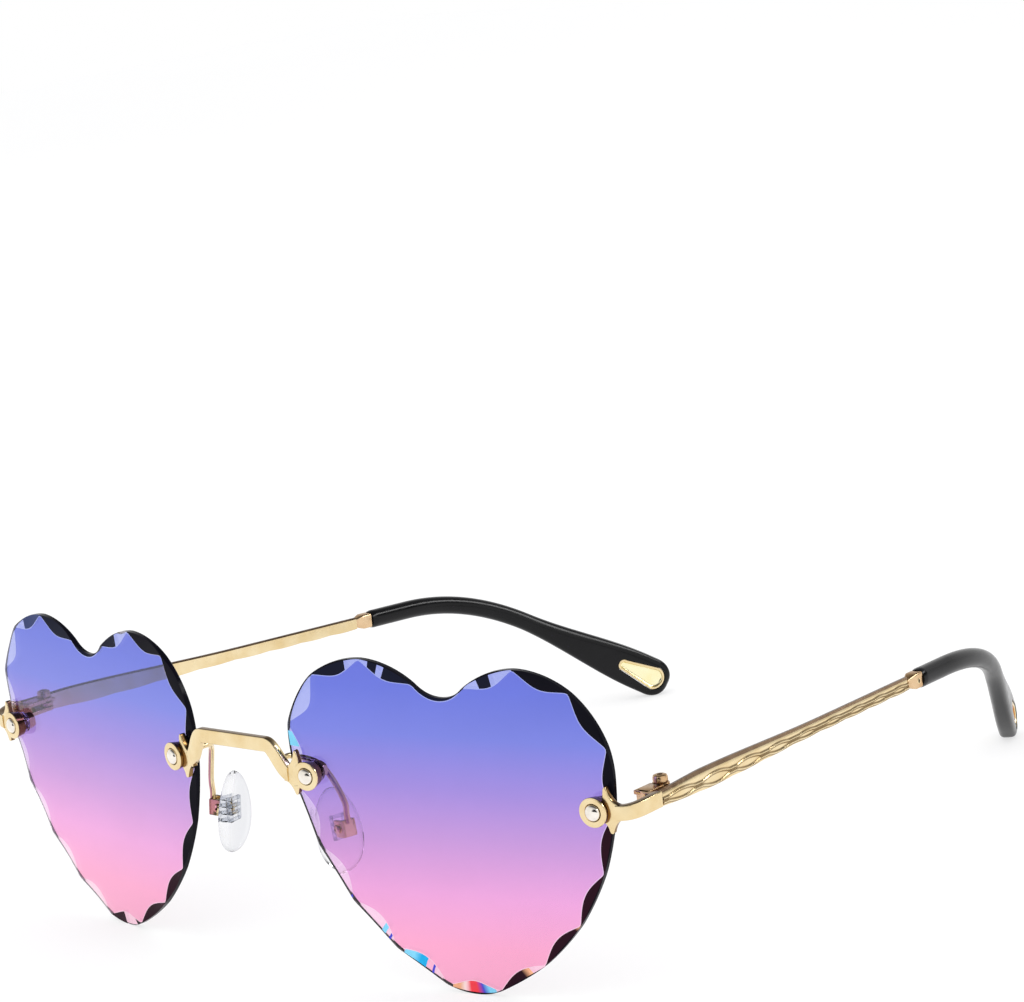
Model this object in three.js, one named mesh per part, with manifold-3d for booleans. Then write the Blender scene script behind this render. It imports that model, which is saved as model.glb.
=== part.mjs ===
// Rimless heart-shaped sunglasses with diamond-cut lens edges, braided metal temples and black tips.
// Millimetres, +Z up. The front faces -Y, the temples run back along +Y, and the glasses stand on
// the two lens points and the two temple tips. Everything of one side is built at +X, the wearer's
// left, and mirrored for the other side.

import * as THREE from "three";
import { mergeVertices } from "three/addons/utils/BufferGeometryUtils.js";
import Module from "manifold-3d";

const wasm = await Module();
wasm.setup();

// Heart outline of a lens: two lobes, a rounded notch, two long sides and a rounded point.
// The inner lobe stands a little higher than the outer one.
const lobeRadius = 15;
const lobeOffset = 14;
const notchHeight = 46.7;
const lobeRise = 5.2;
const sideRadius = 40;
const pointRadius = 10.4;
const lensThickness = 1.1;
const lobeTilt = 1.2;
const lensGap = 21.6;
const wrapAngle = 9.7;

// Diamond-cut edge: bite of a facet on a straight edge, and the least that is left in the notch
const facetCount = 18;
const facetBite = 1.2;
const facetLeast = 0.4;
const facetDepth = 0.35;
const edgeBite = 0.08;
const cuspShare = 0.06;

// Drill holes: height above the lens point and distance from the lens edge
const innerHoleHeight = 33.6;
const innerHoleInset = 3.6;
const outerHoleHeight = 31.1;
const outerHoleInset = 2.6;

// Lens screws, sleeves, washers and nuts
const screwDiameter = 1.2;
const screwHeadDiameter = 2.5;
const screwHeadRise = 0.55;
const sleeveWall = 0.3;
const washerDiameter = 3.4;
const washerThickness = 0.4;
const nutWidth = 2.5;
const nutThickness = 1.2;

// Flat metal of the bridge and end pieces
const stripHeight = 2.3;
const stripThickness = 1.2;
const eyeletDiameter = 4.6;
const eyeletThickness = 1.7;
const headRecess = 0.4;
const earRise = 3.4;
const earThickness = 1;
const bridgeRise = 4.4;
const bridgeShoulderInset = 3.6;
const bridgeOffset = 1.6;
const stripChamfer = 0.2;
const eyeletBevel = 0.15;
const stripLap = 1;
const footEase = 0.36;
const shoulderEase = 0.4;
const sweepOut = 0.95;
const sweepBack = 0.62;

// Star-shaped lug: corners along the arm in eyelet radii, and across it in ear rises
const starNeck = [0.6, 0.5];
const lowerEar = [[0.84, 0.56], [0.92, 0.8], [1, 1.04], [1.2, 0.94]];
const upperEar = [[0.98, 1.08], [0.86, 1.2], [0.74, 1.02]];
const earRoot = [1.5, 1.2];

// Hinge: the joint lies outside the lens edge, behind it, and above the outer hole
const jointOverhang = 3.6;
const jointSetback = 5.1;
const jointRise = 0.5;
const hingeInset = 2.65;
const hingeSetback = 3.6;
const knuckleDiameter = 2.7;
const knuckleHeight = 0.65;
const leafLength = 1.6;
const leafLap = 0.35;
const hingeScrewDiameter = 1.2;
const hingeHeadDiameter = 2.3;
const hingeHeadHeight = 1.1;
const hingeHeadChamfer = 0.4;

// Temple bar
const templeLength = 76.6;
const templeSplay = 6.8;
const templeDrop = 3;
const templeThickness = 1.3;
const templeFrontHeight = 2.4;
const templeSwellHeight = 3.2;
const templeRearHeight = 2.1;
const swellAt = 0.16;
const swellEnd = 0.6;
const barChamfer = 0.26;
const bevelFoot = 0.35;
const braidCount = 9;
const braidTaper = 0.6;
const strandWidth = 0.5;
const strandRise = 0.22;
const strandParting = 0.1;
const edgeScallop = 0.14;
const collarLength = 3.4;
const collarHeight = 2.6;
const collarThickness = 2.2;
const collarChamfer = 0.35;
const collarFlare = 0.45;
const coreDiameter = 1.3;
const coreLength = 44;

// Black temple tip
const tipStraight = 23.4;
const tipBend = 14.4;
const tipReach = 45.2;
const tipCurl = 31.7;
const tipDrop = 33;
const tipHeight = 3.3;
const tipThickness = 3.1;
const tipRoundness = 0.8;
const flareStart = 0.52;
const paddleHeight = 7.3;
const paddleThickness = 3.4;
const paddleRoundness = 0.5;
const inlayLength = 10;
const inlayHeight = 4.5;
const inlayNose = 1.1;
const inlayRim = 1.4;
const inlayRecess = 0.15;

// Nose pads and their arms
const padLength = 13.6;
const padWidth = 8.2;
const padThickness = 2.3;
const padOutset = 0.8;
const padSetback = 7;
const padDrop = 11.4;
const padLean = 7.5;
const padSplay = 15;
const padEgg = 0.16;
const padProfile = [[0.9, 1], [1, 0.55], [0.97, -0.2], [0.8, -0.75], [0.45, -1]];
const lugRise = 0.5;
const lugThickness = 1.1;
const lugLength = 2.4;
const lugHeight = 1.9;
const lugBoreReach = 1.5;
const padPlateLength = 4;
const padPlateWidth = 2.6;
const padPlateThickness = 0.7;
const boxWall = 0.55;
const boxHeight = 2.7;
const boxLength = 2.6;
const boxPlay = 0.25;
const armDiameter = 0.95;
const armRoot = 0.1;
const armLead = 2;
const armBow = 5.1;
const armSink = 1.7;
const padScrewDiameter = 0.9;
const padHeadDiameter = 1.5;
const padHeadRise = 0.4;

// Clearances
const seatGap = 0.12;
const boreGap = 0.1;
const hingeGap = 0.15;

// Fineness of curves
const facetSteps = 6;
const roundSteps = 12;
const domeSteps = 3;
const pathSteps = 10;
const curveSteps = 5;
const braidSteps = 6;
const tipSteps = 14;
const capSteps = 6;
const inlaySteps = 8;
const wireSteps = 8;
const weldTolerance = 1e-4;

const rad = THREE.MathUtils.degToRad;
const v2 = (x, y) => new THREE.Vector2(x, y);
const v3 = (x, y, z) => new THREE.Vector3(x, y, z);
const UP = v3(0, 0, 1);

// Materials

const metal = (color, roughness) => new THREE.MeshStandardMaterial({ color, roughness, metalness: 1 });
const plastic = (color, roughness, opacity = 1) => new THREE.MeshStandardMaterial({
  color,
  roughness,
  metalness: 0,
  opacity,
  transparent: opacity < 1,
});
const gold = metal(0xe9cf97, 0.2);
const steel = metal(0xd8d8d8, 0.15);
const lensTint = plastic(0xb08fe0, 0.05, 0.6);
const clearPlastic = plastic(0xf4f6f8, 0.1, 0.4);
const black = plastic(0x0c0c0e, 0.15);

// Solids: closed meshes from rings of points, and joins and cuts

function meshFrom(points, triangles) {
  const geometry = new THREE.BufferGeometry();
  geometry.setAttribute("position", new THREE.Float32BufferAttribute(points.flatMap((p) => p.toArray()), 3));
  geometry.setIndex(triangles.flat());
  return facedOutward(geometry);
}

function facedOutward(geometry) {
  const position = geometry.getAttribute("position");
  const index = geometry.getIndex().array;
  const corner = [v3(), v3(), v3()];
  let volume = 0;
  for (let i = 0; i < index.length; i += 3) {
    corner.forEach((p, k) => p.fromBufferAttribute(position, index[i + k]));
    volume += corner[0].dot(corner[1].cross(corner[2]));
  }
  if (volume < 0) {
    for (let i = 0; i < index.length; i += 3) {
      [index[i], index[i + 1]] = [index[i + 1], index[i]];
    }
  }
  return geometry;
}

// Joins a row of rings with the same number of points into one closed skin, capped at both ends
function loft(rings) {
  const count = rings[0].length;
  const points = rings.flat();
  const triangles = [];
  for (let r = 0; r + 1 < rings.length; r += 1) {
    for (let i = 0; i < count; i += 1) {
      const a = r * count + i;
      const b = r * count + ((i + 1) % count);
      triangles.push([a, b, b + count], [a, b + count, a + count]);
    }
  }
  const last = (rings.length - 1) * count;
  const startHub = points.push(centreOf(rings[0])) - 1;
  const endHub = points.push(centreOf(rings.at(-1))) - 1;
  for (let i = 0; i < count; i += 1) {
    const next = (i + 1) % count;
    triangles.push([startHub, next, i], [endHub, last + i, last + next]);
  }
  return meshFrom(points, triangles);
}

function centreOf(ring) {
  return ring.reduce((sum, p) => sum.add(p), v3()).divideScalar(ring.length);
}

function solid(geometry) {
  const bare = geometry.clone();
  bare.deleteAttribute("normal");
  bare.deleteAttribute("uv");
  const merged = mergeVertices(bare, weldTolerance);
  const index = merged.getIndex().array;
  const corners = [];
  for (let i = 0; i < index.length; i += 3) {
    const [a, b, c] = index.slice(i, i + 3);
    if (a !== b && b !== c && c !== a) {
      corners.push(a, b, c);
    }
  }
  return new wasm.Manifold(new wasm.Mesh({
    numProp: 3,
    vertProperties: new Float32Array(merged.getAttribute("position").array),
    triVerts: new Uint32Array(corners),
  }));
}

function fromSolid(manifold) {
  const mesh = manifold.getMesh();
  const geometry = new THREE.BufferGeometry();
  geometry.setAttribute("position", new THREE.BufferAttribute(new Float32Array(mesh.vertProperties), 3));
  geometry.setIndex(new THREE.BufferAttribute(new Uint32Array(mesh.triVerts), 1));
  return geometry;
}

const join = (...geometries) => fromSolid(geometries.map(solid).reduce((a, b) => a.add(b)));
const cut = (base, ...tools) => fromSolid(tools.map(solid).reduce((a, b) => a.subtract(b), solid(base)));

function mirrored(geometry) {
  const copy = geometry.clone().scale(-1, 1, 1);
  return facedOutward(copy.getIndex() ? copy : mergeVertices(copy));
}

// A shape drawn in the lens plane and made thick from its back face forward
function plate(shape, thickness, back, bevel = 0) {
  const geometry = new THREE.ExtrudeGeometry(shape, {
    depth: thickness - 2 * bevel,
    bevelEnabled: bevel > 0,
    bevelThickness: bevel,
    bevelSize: bevel,
    bevelOffset: -bevel,
    bevelSegments: 1,
    curveSegments: curveSteps,
  });
  return geometry.rotateX(Math.PI / 2).translate(0, back - bevel, 0);
}

// A round section with flat sides
function disc(radius, sides) {
  const corner = (i) => v2(radius, 0).rotateAround(v2(0, 0), (2 * Math.PI * i) / sides);
  return new THREE.Shape(Array.from({ length: sides }, (_, i) => corner(i)));
}

// A turned piece about the Y axis: pairs of radius and depth, from the axis back to the axis
function turned(profile, steps = roundSteps) {
  return facedOutward(new THREE.LatheGeometry(profile.map(([r, y]) => v2(r, y)), steps));
}

// A turned piece about the Z axis
function pillar(profile, steps = roundSteps) {
  return turned(profile, steps).rotateX(Math.PI / 2);
}

// Profile of a dome that faces forward: from its crown to its rim
function domed(radius, rise, rim) {
  return Array.from({ length: domeSteps + 1 }, (_, i) => {
    const turn = (Math.PI * i) / (2 * domeSteps);
    return [radius * Math.sin(turn), rim - rise * Math.cos(turn)];
  });
}

// A drill along the Y axis
function drill(radius, from, to) {
  return turned([[0, from], [radius, from], [radius, to], [0, to]]);
}

function block(width, depth, height, x, y, z) {
  return new THREE.BoxGeometry(width, depth, height).translate(x, y, z);
}

// Heart outline

const lobeHeight = notchHeight + lobeRise - lobeRadius;
const sideCentre = (() => {
  const lobe = v2(lobeOffset, lobeHeight);
  const point = v2(0, pointRadius);
  const toLobe = sideRadius - lobeRadius;
  const toPoint = sideRadius - pointRadius;
  const span = point.distanceTo(lobe);
  const along = (toLobe ** 2 - toPoint ** 2 + span ** 2) / (2 * span);
  const off = Math.sqrt(toLobe ** 2 - along ** 2);
  const axis = point.clone().sub(lobe).divideScalar(span);
  return lobe.addScaledVector(axis, along).addScaledVector(v2(axis.y, -axis.x), off);
})();
const notchAbove = notchHeight - lobeHeight;
const notchRadius = (notchAbove ** 2 + lobeOffset ** 2 - lobeRadius ** 2) / (2 * (lobeRadius - notchAbove));
const notchCentre = notchHeight + notchRadius;
const lensHalfWidth = lobeOffset + lobeRadius;

function heartPath() {
  const pointTurn = Math.atan2(pointRadius - sideCentre.y, -sideCentre.x);
  const lobeTurn = Math.atan2(lobeHeight - sideCentre.y, lobeOffset - sideCentre.x);
  const notchTurn = Math.atan2(notchCentre - lobeHeight, -lobeOffset);
  const half = Math.PI;
  const path = new THREE.Path();
  path.absarc(0, pointRadius, pointRadius, -half / 2, pointTurn, false);
  path.absarc(sideCentre.x, sideCentre.y, sideRadius, pointTurn, lobeTurn, false);
  path.absarc(lobeOffset, lobeHeight, lobeRadius, lobeTurn, notchTurn, false);
  path.absarc(0, notchCentre, notchRadius, notchTurn - half, -notchTurn, true);
  path.absarc(-lobeOffset, lobeHeight, lobeRadius, half - notchTurn, half - lobeTurn, false);
  path.absarc(-sideCentre.x, sideCentre.y, sideRadius, half - lobeTurn, half - pointTurn, false);
  path.absarc(0, pointRadius, pointRadius, half - pointTurn, 1.5 * half, false);
  return path;
}

// Evenly spaced outline points, each with its inward direction
function heartOutline(count) {
  const points = heartPath().getSpacedPoints(count).slice(0, count);
  points.forEach((p) => p.setY(p.y - p.x * Math.tan(rad(lobeTilt))));
  return points.map((p, i) => {
    const along = points[(i + 1) % count].clone().sub(points[(i + count - 1) % count]).normalize();
    return { at: p, inward: v2(-along.y, along.x) };
  });
}

const outline = heartOutline(facetCount * facetSteps);

// A facet bites further where the outline turns more, as the cut of a flat wheel does
const facetBites = Array.from({ length: facetCount }, (_, k) => {
  const inwardAt = (place) => outline.at(Math.round(place * facetSteps) % outline.length).inward;
  const start = inwardAt(k - 0.5);
  const end = inwardAt(k + 0.5);
  const turn = Math.atan2(start.cross(end), start.dot(end));
  const sagitta = (heartPath().getLength() / facetCount) * (turn / 8);
  return Math.max(facetLeast, facetBite + sagitta);
});

// Where a level line meets the lens edge, on the outer or the inner side
function edgeAt(height, outer) {
  const crossings = outline.flatMap(({ at: a }, i) => {
    const b = outline[(i + 1) % outline.length].at;
    const share = (height - a.y) / (b.y - a.y);
    return share >= 0 && share < 1 ? [a.x + share * (b.x - a.x)] : [];
  });
  return outer ? Math.max(...crossings) : Math.min(...crossings);
}

const innerHole = v2(edgeAt(innerHoleHeight, false) + innerHoleInset, innerHoleHeight);
const outerHole = v2(edgeAt(outerHoleHeight, true) - outerHoleInset, outerHoleHeight);
const lensHoleRadius = screwDiameter / 2 + boreGap + sleeveWall + boreGap;

// Frame of a lens: along the lens, back through it, and up
const lensCentre = v3(
  lensGap / 2 + lensHalfWidth * Math.cos(rad(wrapAngle)),
  lensHalfWidth * Math.sin(rad(wrapAngle)),
  0,
);
const lensFrame = new THREE.Matrix4().makeRotationZ(rad(wrapAngle)).setPosition(lensCentre);
const onLens = (along, back, up) => v3(along, back, up).applyMatrix4(lensFrame);
const lensFront = -lensThickness / 2;
const lensBack = lensThickness / 2;

// Lens: a flat heart whose front edge is cut into facets, each a shallow scoop between two cusps
function lensGeometry() {
  const points = [];
  const triangles = [];
  const ring = (place) => outline.map(({ at, inward }, i) => {
    const scoop = Math.max(cuspShare, Math.sin(Math.PI * ((i / facetSteps + 0.5) % 1)));
    const bite = facetBites[Math.floor(i / facetSteps + 0.5) % facetCount];
    const { inset, depth } = place(scoop, bite);
    const p = at.clone().addScaledVector(inward, inset);
    return points.push(v3(p.x, depth, p.y)) - 1;
  });
  const wall = (front, back) => front.forEach((a, i) => {
    const next = (i + 1) % front.length;
    triangles.push([a, back[i], back[next]], [a, back[next], front[next]]);
  });
  const face = (rim, toFront) => {
    const flat = (row) => row.map((i) => v2(points[i].x, points[i].z));
    THREE.ShapeUtils.triangulateShape(flat(rim), []).forEach((corners) => {
      const row = corners.map((k) => rim[k]);
      const upright = THREE.ShapeUtils.area(flat(row)) > 0;
      triangles.push(upright === toFront ? row : row.toReversed());
    });
  };
  const frontRim = ring((s, bite) => ({ inset: (edgeBite + bite) * s, depth: lensFront }));
  const facetFoot = ring((s) => ({ inset: edgeBite * s, depth: lensFront + facetDepth * s }));
  const backRim = ring((s) => ({ inset: edgeBite * s, depth: lensBack }));
  wall(frontRim, facetFoot);
  wall(facetFoot, backRim);
  face(frontRim, true);
  face(backRim, false);
  const lensDrill = (hole) =>
    drill(lensHoleRadius, lensFront - lensThickness, lensBack + lensThickness).translate(hole.x, 0, hole.y);
  return cut(meshFrom(points, triangles), lensDrill(innerHole), lensDrill(outerHole));
}

// Lens fasteners, each along the lens's thickness about its own hole

const plateBack = lensFront - seatGap;
const plateFront = plateBack - eyeletThickness;
const recessFloor = plateFront + headRecess;
const washerFront = lensBack + seatGap;
const nutFront = washerFront + washerThickness + seatGap;
const nutBack = nutFront + nutThickness;
const shankRadius = screwDiameter / 2;
const shankBore = shankRadius + boreGap;

function lensScrewGeometry() {
  const head = screwHeadDiameter / 2;
  const under = recessFloor - seatGap;
  return turned([
    ...domed(head, screwHeadRise, plateFront),
    [head, under],
    [shankRadius, under],
    [shankRadius, nutBack],
    [0, nutBack],
  ]);
}

function ringGeometry(bore, outer, front, back) {
  return turned([[bore, front], [outer, front], [outer, back], [bore, back], [bore, front]]);
}

const lensSleeveGeometry = () => ringGeometry(shankBore, shankBore + sleeveWall, lensFront, lensBack);
const lensWasherGeometry = () =>
  ringGeometry(shankBore, washerDiameter / 2, washerFront, washerFront + washerThickness);

function lensNutGeometry() {
  const across = nutWidth / 2 / Math.cos(Math.PI / 6);
  const hexagon = turned([[0, nutFront], [across, nutFront], [across, nutBack], [0, nutBack]], 6);
  return cut(hexagon, drill(shankBore, nutFront - nutThickness, nutBack + nutThickness));
}

// Eyelet and star-shaped lug in front of a lens hole. The arm leaves towards +X of the shape.
function eyeletGeometry(hole, towardsOuter) {
  const radius = eyeletDiameter / 2;
  const half = stripHeight / 2;
  const reach = radius + stripHeight;
  const star = new THREE.Shape();
  const corner = ([along, across], side) => [radius * along, side * earRise * across];
  star.moveTo(0, 0);
  star.lineTo(...corner(starNeck, -1));
  star.quadraticCurveTo(...corner(lowerEar[0], -1), ...corner(lowerEar[1], -1));
  star.quadraticCurveTo(...corner(lowerEar[2], -1), ...corner(lowerEar[3], -1));
  star.quadraticCurveTo(radius * earRoot[0], -half, reach, -half);
  star.lineTo(reach, half);
  star.quadraticCurveTo(radius * earRoot[1], half, ...corner(upperEar[0], 1));
  star.quadraticCurveTo(...corner(upperEar[1], 1), ...corner(upperEar[2], 1));
  star.lineTo(...corner(starNeck, 1));
  const ring = turned([
    [0, plateFront],
    [radius - eyeletBevel, plateFront],
    [radius, plateFront + eyeletBevel],
    [radius, plateBack],
    [0, plateBack],
  ]);
  const recess = screwHeadDiameter / 2 + boreGap;
  const whole = join(plate(star, earThickness, plateBack, eyeletBevel), ring);
  const ahead = plateBack - 2 * Math.max(eyeletThickness, earThickness);
  const drilled = cut(
    whole,
    drill(shankBore, ahead, plateBack + eyeletThickness),
    drill(recess, ahead, recessFloor),
  );
  const facing = towardsOuter ? drilled : mirrored(drilled);
  return facing.translate(hole.x, 0, hole.y).applyMatrix4(lensFrame);
}

// Cross axes of a bar that stays upright: sideways, which is outward from the head, and up
function crossAxes(way) {
  const outward = way.clone().cross(UP).normalize();
  return { outward, up: outward.clone().cross(way) };
}

// Places points of a cross section, each given as outward and up, about a point of a bar
function sectionRing(centre, way, corners) {
  const { outward, up } = crossAxes(way);
  return corners.map(([a, b]) => centre.clone().addScaledVector(outward, a).addScaledVector(up, b));
}

// A rectangular section with chamfered corners
function chamferedRing(centre, way, height, thickness, chamfer) {
  const h = height / 2;
  const t = thickness / 2;
  return sectionRing(centre, way, [
    [t, h - chamfer], [t - chamfer, h], [chamfer - t, h], [-t, h - chamfer],
    [-t, chamfer - h], [chamfer - t, -h], [t - chamfer, -h], [t, chamfer - h],
  ]);
}

// A flat strip with chamfered edges swept along a curve, upright all the way
function strip(curve, steps, height, thickness) {
  const rings = curve.getSpacedPoints(steps).map((centre, i) =>
    chamferedRing(centre, curve.getTangentAt(i / steps), height(i / steps), thickness, stripChamfer));
  return loft(rings);
}

// Bridge: a raised bar that steps down at both ends to an eyelet on each lens

const stripMiddle = plateBack - stripThickness / 2;
const starReach = eyeletDiameter / 2 + stripHeight - stripLap;
const bridgeFoot = onLens(innerHole.x - starReach, stripMiddle, innerHoleHeight);
const bridgeShoulder = v3(lensGap / 2 - bridgeShoulderInset, -bridgeOffset, innerHoleHeight + bridgeRise);

function bridgeCurve() {
  const step = bridgeFoot.x - bridgeShoulder.x;
  const foot = bridgeFoot;
  const inFoot = v3(foot.x - step * footEase, foot.y, foot.z);
  const inShoulder = v3(bridgeShoulder.x + step * shoulderEase, bridgeShoulder.y, bridgeShoulder.z);
  const flip = (p) => v3(-p.x, p.y, p.z);
  const curve = new THREE.CurvePath();
  curve.add(new THREE.CubicBezierCurve3(foot, inFoot, inShoulder, bridgeShoulder));
  curve.add(new THREE.LineCurve3(bridgeShoulder, flip(bridgeShoulder)));
  curve.add(new THREE.CubicBezierCurve3(flip(bridgeShoulder), flip(inShoulder), flip(inFoot), flip(foot)));
  return curve;
}

function bridgeGeometry() {
  const eyelet = eyeletGeometry(innerHole, false);
  const bar = strip(bridgeCurve(), 3 * pathSteps, () => stripHeight, stripThickness);
  return join(bar, eyelet, mirrored(eyelet));
}

// Direction of the temple, and the hinge axis beside its front end

const templeWay = v3(-Math.sin(rad(templeSplay)), Math.cos(rad(templeSplay)), -Math.tan(rad(templeDrop)))
  .normalize();
const joint = onLens(lensHalfWidth, 0, outerHoleHeight).add(v3(jointOverhang, jointSetback, jointRise));
const hingeAxis = v2(joint.x - hingeInset, joint.y + hingeSetback);
const barrelHeight = 3 * knuckleHeight + 2 * hingeGap;
const barrelFoot = joint.z - barrelHeight / 2;
const knuckleFoot = (row) => barrelFoot + row * (knuckleHeight + hingeGap);
const hingeBore = hingeScrewDiameter / 2 + boreGap;

function knuckle(row) {
  const foot = knuckleFoot(row);
  const r = knuckleDiameter / 2;
  return pillar([[0, foot], [r, foot], [r, foot + knuckleHeight], [0, foot + knuckleHeight]])
    .translate(hingeAxis.x, hingeAxis.y, 0);
}

function hingeDrill() {
  const foot = barrelFoot - barrelHeight;
  const top = foot + 3 * barrelHeight;
  return pillar([[0, foot], [hingeBore, foot], [hingeBore, top], [0, top]])
    .translate(hingeAxis.x, hingeAxis.y, 0);
}

function hingeScrewGeometry() {
  const r = hingeScrewDiameter / 2;
  const head = hingeHeadDiameter / 2;
  const seat = barrelFoot + barrelHeight + seatGap;
  const top = seat + hingeHeadHeight;
  return pillar([
    [0, barrelFoot],
    [r, barrelFoot],
    [r, seat],
    [head, seat],
    [head, top - hingeHeadChamfer],
    [head - hingeHeadChamfer, top],
    [0, top],
  ]).translate(hingeAxis.x, hingeAxis.y, 0);
}

// End piece: eyelet on the lens, a strip that sweeps round the lens edge, and two hinge knuckles
function endPieceGeometry() {
  const start = onLens(outerHole.x + starReach, stripMiddle, outerHoleHeight);
  const outward = v3(Math.cos(rad(wrapAngle)), Math.sin(rad(wrapAngle)), 0);
  const end = joint.clone().addScaledVector(templeWay, -hingeGap);
  const width = end.x - start.x;
  const curve = new THREE.CubicBezierCurve3(
    start,
    start.clone().addScaledVector(outward, width * sweepOut),
    end.clone().addScaledVector(templeWay, -(end.y - start.y) * sweepBack),
    end,
  );
  const height = (share) => THREE.MathUtils.lerp(stripHeight, templeFrontHeight, share);
  const inner = hingeAxis.x - knuckleDiameter / 2;
  const outer = joint.x - templeThickness / 2 + leafLap;
  const front = joint.y - leafLength;
  const back = joint.y - hingeGap - leafLap;
  const leaf = block(
    outer - inner,
    back - front,
    barrelHeight,
    (outer + inner) / 2,
    (front + back) / 2,
    joint.z,
  );
  const tongue = (row) => block(
    knuckleDiameter,
    hingeAxis.y - back + leafLap,
    knuckleHeight,
    hingeAxis.x,
    (hingeAxis.y + back - leafLap) / 2,
    knuckleFoot(row) + knuckleHeight / 2,
  );
  const whole = join(
    strip(curve, pathSteps, height, stripThickness),
    eyeletGeometry(outerHole, true),
    leaf,
    tongue(0),
    tongue(2),
    knuckle(0),
    knuckle(2),
  );
  return cut(whole, hingeDrill());
}

// Temple: braided bar, collar, core wire inside the tip, and the middle hinge knuckle

const alongTemple = (distance) => joint.clone().addScaledVector(templeWay, distance);
const tipStart = alongTemple(templeLength);
const tipKnee = tipStart.clone().addScaledVector(templeWay, tipStraight);
const tipWay = v3(
  -Math.sin(rad(tipCurl)) * Math.cos(rad(tipDrop)),
  Math.cos(rad(tipCurl)) * Math.cos(rad(tipDrop)),
  -Math.sin(rad(tipDrop)),
);
const tipEnd = tipKnee.clone().addScaledVector(tipWay, tipReach);

function tipCurve() {
  const bendStart = tipKnee.clone().addScaledVector(templeWay, -tipBend);
  const bendEnd = tipKnee.clone().addScaledVector(tipWay, tipBend);
  const curve = new THREE.CurvePath();
  curve.add(new THREE.LineCurve3(tipStart, bendStart));
  curve.add(new THREE.QuadraticBezierCurve3(bendStart, tipKnee, bendEnd));
  curve.add(new THREE.LineCurve3(bendEnd, tipEnd));
  return curve;
}

const tipLine = tipCurve();
const tipLength = tipLine.getLength();

// Rounded section of the tip at a distance along it. A lower roundness gives flatter faces.
function ovalRing(distance, height, thickness, steps, roundness) {
  const share = THREE.MathUtils.clamp(distance / tipLength, 0, 1);
  const squarish = (x) => Math.sign(x) * Math.abs(x) ** roundness;
  const corners = Array.from({ length: steps }, (_, i) => {
    const turn = (2 * Math.PI * (i + 0.5)) / steps;
    return [(thickness / 2) * squarish(Math.cos(turn)), (height / 2) * squarish(Math.sin(turn))];
  });
  return sectionRing(tipLine.getPointAt(share), tipLine.getTangentAt(share), corners);
}

// Height of the bar: a swell behind the hinge, then a long taper to the collar
function barHeight(distance) {
  const swell = templeLength * swellAt;
  const rise = THREE.MathUtils.smoothstep(distance, 0, swell);
  const fall = THREE.MathUtils.smoothstep(distance, swell, templeLength * swellEnd);
  const front = THREE.MathUtils.lerp(templeFrontHeight, templeSwellHeight, rise);
  return THREE.MathUtils.lerp(front, templeRearHeight, fall);
}

// Ends of the braid's lozenges, each a little shorter than the one before
function braidNodes() {
  const length = templeLength - collarLength;
  const shares = Array.from({ length: braidCount }, (_, i) => 1 - (1 - braidTaper) * (i / braidCount));
  const total = shares.reduce((a, b) => a + b);
  const nodes = [0];
  shares.forEach((share) => nodes.push(nodes.at(-1) + (share / total) * length));
  return nodes;
}

// One section of the braided bar. Two strands part and meet on the lower outer face.
function barRing(distance, spread) {
  const h = barHeight(distance) / 2;
  const t = templeThickness / 2;
  const bandTop = h * bevelFoot;
  const bandMiddle = (bandTop - h) / 2;
  const half = strandWidth / 2;
  const swing = Math.max(half + strandParting / 2, (bandTop - bandMiddle - half) * spread);
  const low = bandMiddle - swing;
  const high = bandMiddle + swing;
  const face = t - strandRise;
  const inside = barChamfer - t;
  const bottom = edgeScallop * (1 - spread) - h - strandParting;
  return sectionRing(alongTemple(distance), templeWay, [
    [-t, h - barChamfer], [inside, h], [0, h],
    [face, bandTop + strandParting], [face, high + half], [t, high], [face, high - half],
    [face, low + half], [t, low], [face, low - half],
    [face - strandParting, bottom], [-t, bottom],
  ]);
}

function barGeometry() {
  const nodes = braidNodes();
  const rings = [barRing(hingeGap, 0)];
  for (let k = 0; k < braidCount; k += 1) {
    for (let j = 1; j <= braidSteps; j += 1) {
      const share = j / braidSteps;
      const distance = THREE.MathUtils.lerp(nodes[k], nodes[k + 1], share);
      rings.push(barRing(distance, Math.sin(Math.PI * share)));
    }
  }
  return loft(rings);
}

// Collar: the bar's flared end, flat against the tip
function collarGeometry() {
  const back = templeLength - seatGap;
  const front = templeLength - collarLength;
  const ring = (distance, height, thickness) =>
    chamferedRing(alongTemple(distance), templeWay, height, thickness, collarChamfer);
  return loft([
    ring(front - collarChamfer, templeRearHeight - 2 * collarChamfer, templeThickness - strandRise),
    ring(front + collarLength * collarFlare, collarHeight, collarThickness),
    ring(back, collarHeight, collarThickness),
  ]);
}

// Core wire: rooted in the collar, then along the middle of the tip
function coreGeometry() {
  const ring = (distance) => ovalRing(distance, coreDiameter, coreDiameter, wireSteps, 1);
  const root = ring(0).map((p) => p.addScaledVector(templeWay, -collarLength / 2));
  const rings = Array.from({ length: pathSteps + 1 }, (_, i) => ring((coreLength * i) / pathSteps));
  return loft([root, ...rings]);
}

function templeGeometry() {
  const inner = hingeAxis.x - leafLap;
  const outer = joint.x - templeThickness / 2 + leafLap;
  const tongueLength = knuckleDiameter;
  const tongue = block(
    outer - inner,
    tongueLength,
    knuckleHeight,
    (outer + inner) / 2,
    hingeAxis.y + tongueLength / 2,
    knuckleFoot(1) + knuckleHeight / 2,
  );
  const whole = join(barGeometry(), collarGeometry(), coreGeometry(), tongue, knuckle(1));
  return cut(whole, hingeDrill());
}

// Tip: an oval sleeve on the core wire that bends down and in, and widens to a paddle

const paddleMiddle = tipLength - inlayRim - inlayLength / 2;

// Share of the full size that a rounded end leaves at a distance from that end
function endRounding(left, radius) {
  return left < radius ? Math.sqrt(Math.max(0, 1 - ((radius - left) / radius) ** 2)) : 1;
}

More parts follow.
